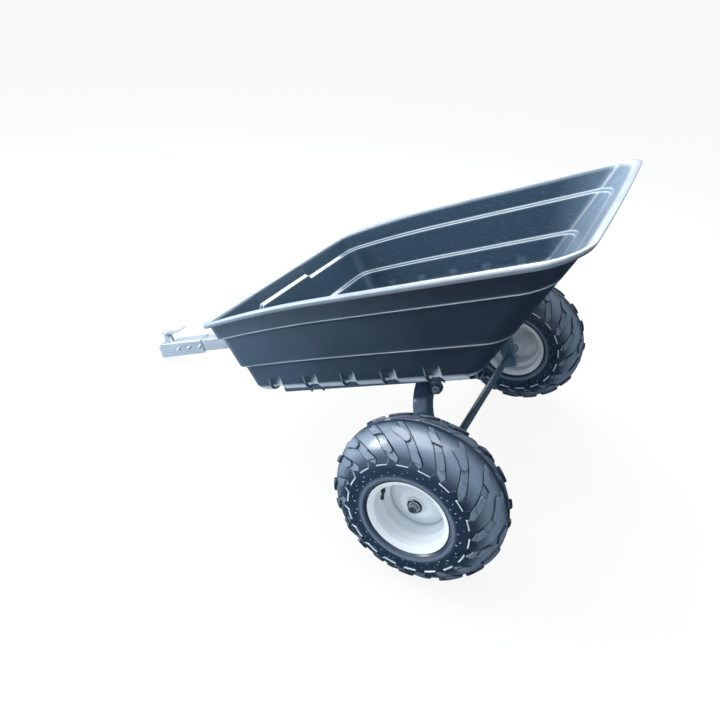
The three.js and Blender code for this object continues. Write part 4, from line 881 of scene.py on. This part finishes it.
# the plate's end: its bevel from 122.8 mm out is painted white as a highlight
plate += [(111.5, 9.5, -2.1, 3, 0.02), (115, 10.1, -1.6, 3, 0), (119, 10.7, -1.1, 3, 0),
          (122.2, 11.4, -0.6, 3, 0.02), (122.8, 11.5, -0.5, 3, 1), (125.4, 11.8, -0.1, 2, 1),
          (126.4, 11.8, 0, -1, 0)]
bar = [(l, bar_left(l), bar_right(l)) for l in (7, 12, 20, 30, 40, 50, 60, 70, 80, 90, 99, 106)]
bar += [(108.5, -3, -11), (112, -5, -10.5), (116, -7.4, -9.9), (118.5, -8.9, -9.6)]
# the knobs near the middle line and near the shoulder, of two kinds in turn
inner_a = [(26, 15.2, 10), (32, 14, 7.8), (38, 12.5, 5.6), (43, 11.2, 4), (46, 10.4, 3.2)]
outer_a = [(63, 2.6, -0.8), (66, 4.4, -1.3), (72, 4.4, -2.6), (78, 3.2, -4), (84, 2, -5.4), (89, 1, -6.2),
           (92, -0.8, -5.9), (94.5, -3.6, -5)]
inner_b = [(29, 17, 13), (34, 17.6, 10), (39, 17.2, 7.4), (45, 15.4, 4.9), (51, 12, 3.4), (56, 9.8, 3),
           (60, 8.4, 3.2), (63, 6.6, 4)]
outer_b = [(82, -2.6, -4.6), (85, 0.4, -5.4), (91, 0.6, -7), (98, -0.9, -8.8), (105, -2.3, -10.4)]

# the carcass in (radius, way out): tread, sidewall with its bead ring, bead, and the inside back
carcass = [(r, y) for _, y, r in section[::6]]
carcass += [(137, 97.9), (133.5, 98.6), (130, 98.8), (126.5, 98.2), (123.2, 96.6), (120.2, 94), (117.8, 90.9),
            (116.2, 88.4), (113.4, 86.8), (104, 83.2), (BEAD_R, 81.5), (BEAD_R, 67), (112, 70), (143, 87)]
carcass += [(r - 10, y - 3) for _, y, r in section[::-24] if y < 80]
outline = carcass + [(r, -y) for r, y in reversed(carcass) if y]
tyre = spun("tyre_model", outline, 176)
tyre.data.transform(ALONG_Y)
points, faces, sheens = [], [], []
for flank in (-1, 1):
    for k in range(BARS):
        apex = APEX + (k + (0 if flank > 0 else 0.5)) * PITCH
        inner, outer = ((inner_a, outer_a), (inner_b, outer_b))[k % 2]
        # painted sheen: each slab's top is painted a paler tone, the plate's left and right bevels 0.1 and
        # 0.5, and its right bevel white beyond 110 mm
        slabs = [(apex, plate, 1.6, 6, 0.8, (0.1, 0.5), 110),
                 (apex, closed_rows(bar, BAR_TALL, 0.29), 1.2, 3, 0.8),
                 (apex, closed_rows(inner, INNER_TALL, 0.31, 1.6), 1.6, 2),
                 (apex, closed_rows(outer, OUTER_TALL[k % 2], 0.27, 1.6), 1.6, 2)]
        # vent nibs, three to each bar, laid down on the sidewall, their tops painted white as highlights
        for n in range(3):
            turn = 3 * k + n
            start, way = 129 + (7.3 * turn) % 22, (5.1 * turn) % PITCH
            long = 3 + (1.7 * (k + n)) % 2.5
            end = way + (turn * 0.37 % 1 - 0.5) * 2.4
            nib = [(start, way, -1, 0), (start + 0.3, way, 0.9, 1), (start + long, end, 0.9, 1),
                   (start + long + 0.3, end, -1, 0)]
            nib = [(l, middle + 0.14, middle - 0.14, height, sheen) for l, middle, height, sheen in nib]
            slabs.append((apex, nib, 0.3, 1))
        for at, *how in slabs:
            new_points, new_faces, new_sheens = slab(flank, at, *how)
            faces += [tuple(n + len(points) for n in face) for face in new_faces]
            points += new_points
            sheens += new_sheens
tread = mesh_object("tread", points, faces)
tread.data.attributes.new("sheen", "FLOAT", "POINT").data.foreach_set("value", sheens)
# a painted highlight: a paler ring of sheen round the sidewall's rib, 129 mm out
bead_ring_highlight = []
for vertex in tyre.data.vertices:
    x, y, z = vertex.co
    bead_ring_highlight.append(0.26 * math.exp(-((math.hypot(x, z) - BEAD_RING) / 5) ** 2) if abs(y) > 90 else 0)
tyre.data.attributes.new("sheen", "FLOAT", "POINT").data.foreach_set("value", bead_ring_highlight)
tyre = joined("tyre_model", tyre, tread)
tyre.data.transform(ALONG_Z)

# Tyre rubber, black with a blue-grey bloom: satin where the mould was smooth, with a painted sheen that
# makes the plates paler, and painted white highlights along the plates' edge bevels and the vent nibs.
tyre_rubber, tree, shader, place = new_material("tyre rubber")
rubber_cloud = {"Scale": 14.0, "Detail": 4.0, "Roughness": 0.6}
rubber_colour, rubber_gloss = clouded(tree, place, rubber_cloud, "#17273a", "#243d57", (0.26, 0.34))
sheen = add_node(tree, "ShaderNodeAttribute", attribute_name="sheen").outputs["Fac"]
sheen_share = add_node(tree, "ShaderNodeMapRange", {"Value": sheen, "From Min": 0.0, "From Max": 0.35})
plate_colour = add_node(tree, "ShaderNodeMix", {
    0: sheen_share, 6: rubber_colour, 7: linear("#7d8ea1")}, data_type="RGBA")
white_edge_share = add_node(tree, "ShaderNodeMapRange", {"Value": sheen, "From Min": 0.4, "From Max": 1.0})
highlighted_colour = add_node(tree, "ShaderNodeMix", {0: white_edge_share, 6: plate_colour, 7: linear("#dbe6ee")}, data_type="RGBA")
set_inputs(tree, shader, {
    "Base Color": highlighted_colour, "Roughness": rubber_gloss, "IOR": 1.6,
    "Normal": rippled(tree, place, 900.0, 2.0, 0.2, 0.0003), "Coat Weight": 0.8, "Coat Roughness": 0.22})
both_wheels("tyre_casing", tyre, tyre_rubber, "tyre", smooth=32)

# ---------------------------------------------------------------- floor and light
# A plain white floor that keeps a soft shadow, and soft lamps, brighter from the front left.

# White floor: matt, and so bright that only the cart's soft shadow shows on it; glossy pieces
# mirror it as pale blue ahead of the cart and dark behind it.
floor_white, tree, shader, place = new_material("white floor")
set_inputs(tree, shader, {"Base Color": linear("#f6f7f8"), "Roughness": 0.9})
seen = add_node(tree, "ShaderNodeLightPath")
along = add_node(tree, "ShaderNodeSeparateXYZ", {0: place}).outputs["X"]
across_floor = add_node(tree, "ShaderNodeMapRange", {
    "Value": along, "From Min": -1.1, "From Max": 0.15}, interpolation_type="SMOOTHSTEP")
mirrored = add_node(tree, "ShaderNodeMix", {
    0: across_floor, 6: linear("#d2e5f7"), 7: linear("#2b3a48")}, data_type="RGBA")
glow_colour = add_node(tree, "ShaderNodeMix", {
    0: seen.outputs["Is Camera Ray"], 6: mirrored, 7: (1, 1, 1, 1)}, data_type="RGBA")
glow = add_node(tree, "ShaderNodeEmission", {"Color": glow_colour, "Strength": 1.0})
from_eye = add_node(tree, "ShaderNodeMath", {0: seen.outputs["Is Camera Ray"], 1: 0.9}, operation="MULTIPLY")
glowing = add_node(tree, "ShaderNodeMath", {
    0: from_eye, 1: seen.outputs["Is Glossy Ray"]}, operation="ADD", use_clamp=True)
mixed = add_node(tree, "ShaderNodeMixShader", {0: glowing, 1: shader, 2: glow})
set_inputs(tree, tree.nodes["Material Output"], {"Surface": mixed})
bpy.ops.object.select_all(action="DESELECT")
bpy.ops.mesh.primitive_plane_add(size=240)
ground = bpy.context.active_object
ground.name = "ground"
ground.data.materials.append(floor_white)

# The sky is white to the eye and pale blue on the cart, and brighter ahead of it.
world = bpy.context.scene.world or bpy.data.worlds.new("world")
bpy.context.scene.world = world
world.use_nodes = True
sky = world.node_tree
seen = add_node(sky, "ShaderNodeLightPath").outputs["Is Camera Ray"]
sky_colour = add_node(sky, "ShaderNodeMix", {
    0: seen, 6: linear("#dcebf8"), 7: (1, 1, 1, 1)}, data_type="RGBA")
facing = add_node(sky, "ShaderNodeTexCoord").outputs["Generated"]
ahead = add_node(sky, "ShaderNodeSeparateXYZ", {0: facing}).outputs["X"]
side_level = add_node(sky, "ShaderNodeMapRange", {
    "Value": ahead, "From Min": -0.6, "From Max": 0.8, "To Min": 0.95, "To Max": 0.25})
level = add_node(sky, "ShaderNodeMix", {0: seen, 2: side_level, 3: 1.0})
set_inputs(sky, sky.nodes["Background"], {"Color": sky_colour, "Strength": level})


def soft_lamp(name, place, aim, size, power):
    """A round lamp, its size in metres and its power in watts, that faces the aim."""
    lamp = new_object(name, bpy.data.lights.new(name, "AREA"))
    lamp.data.shape, lamp.data.size, lamp.data.energy = "DISK", size, power
    facing = (Vector(place) - Vector(aim)).to_track_quat("Z", "Y")
    lamp.matrix_world = Matrix.Translation(place) @ facing.to_matrix().to_4x4()


soft_lamp("back", (-1.3, 2.9, 2.4), (0.1, 0, 0.5), 1.9, 60)
soft_lamp("key", (-2.8, -1.6, 1.8), (0.0, 0, 0.4), 1.5, 60)
soft_lamp("top", (-0.5, -0.2, 3.6), (0.1, 0, 0.3), 4.4, 165)

bpy.context.scene.view_settings.view_transform = "Standard"
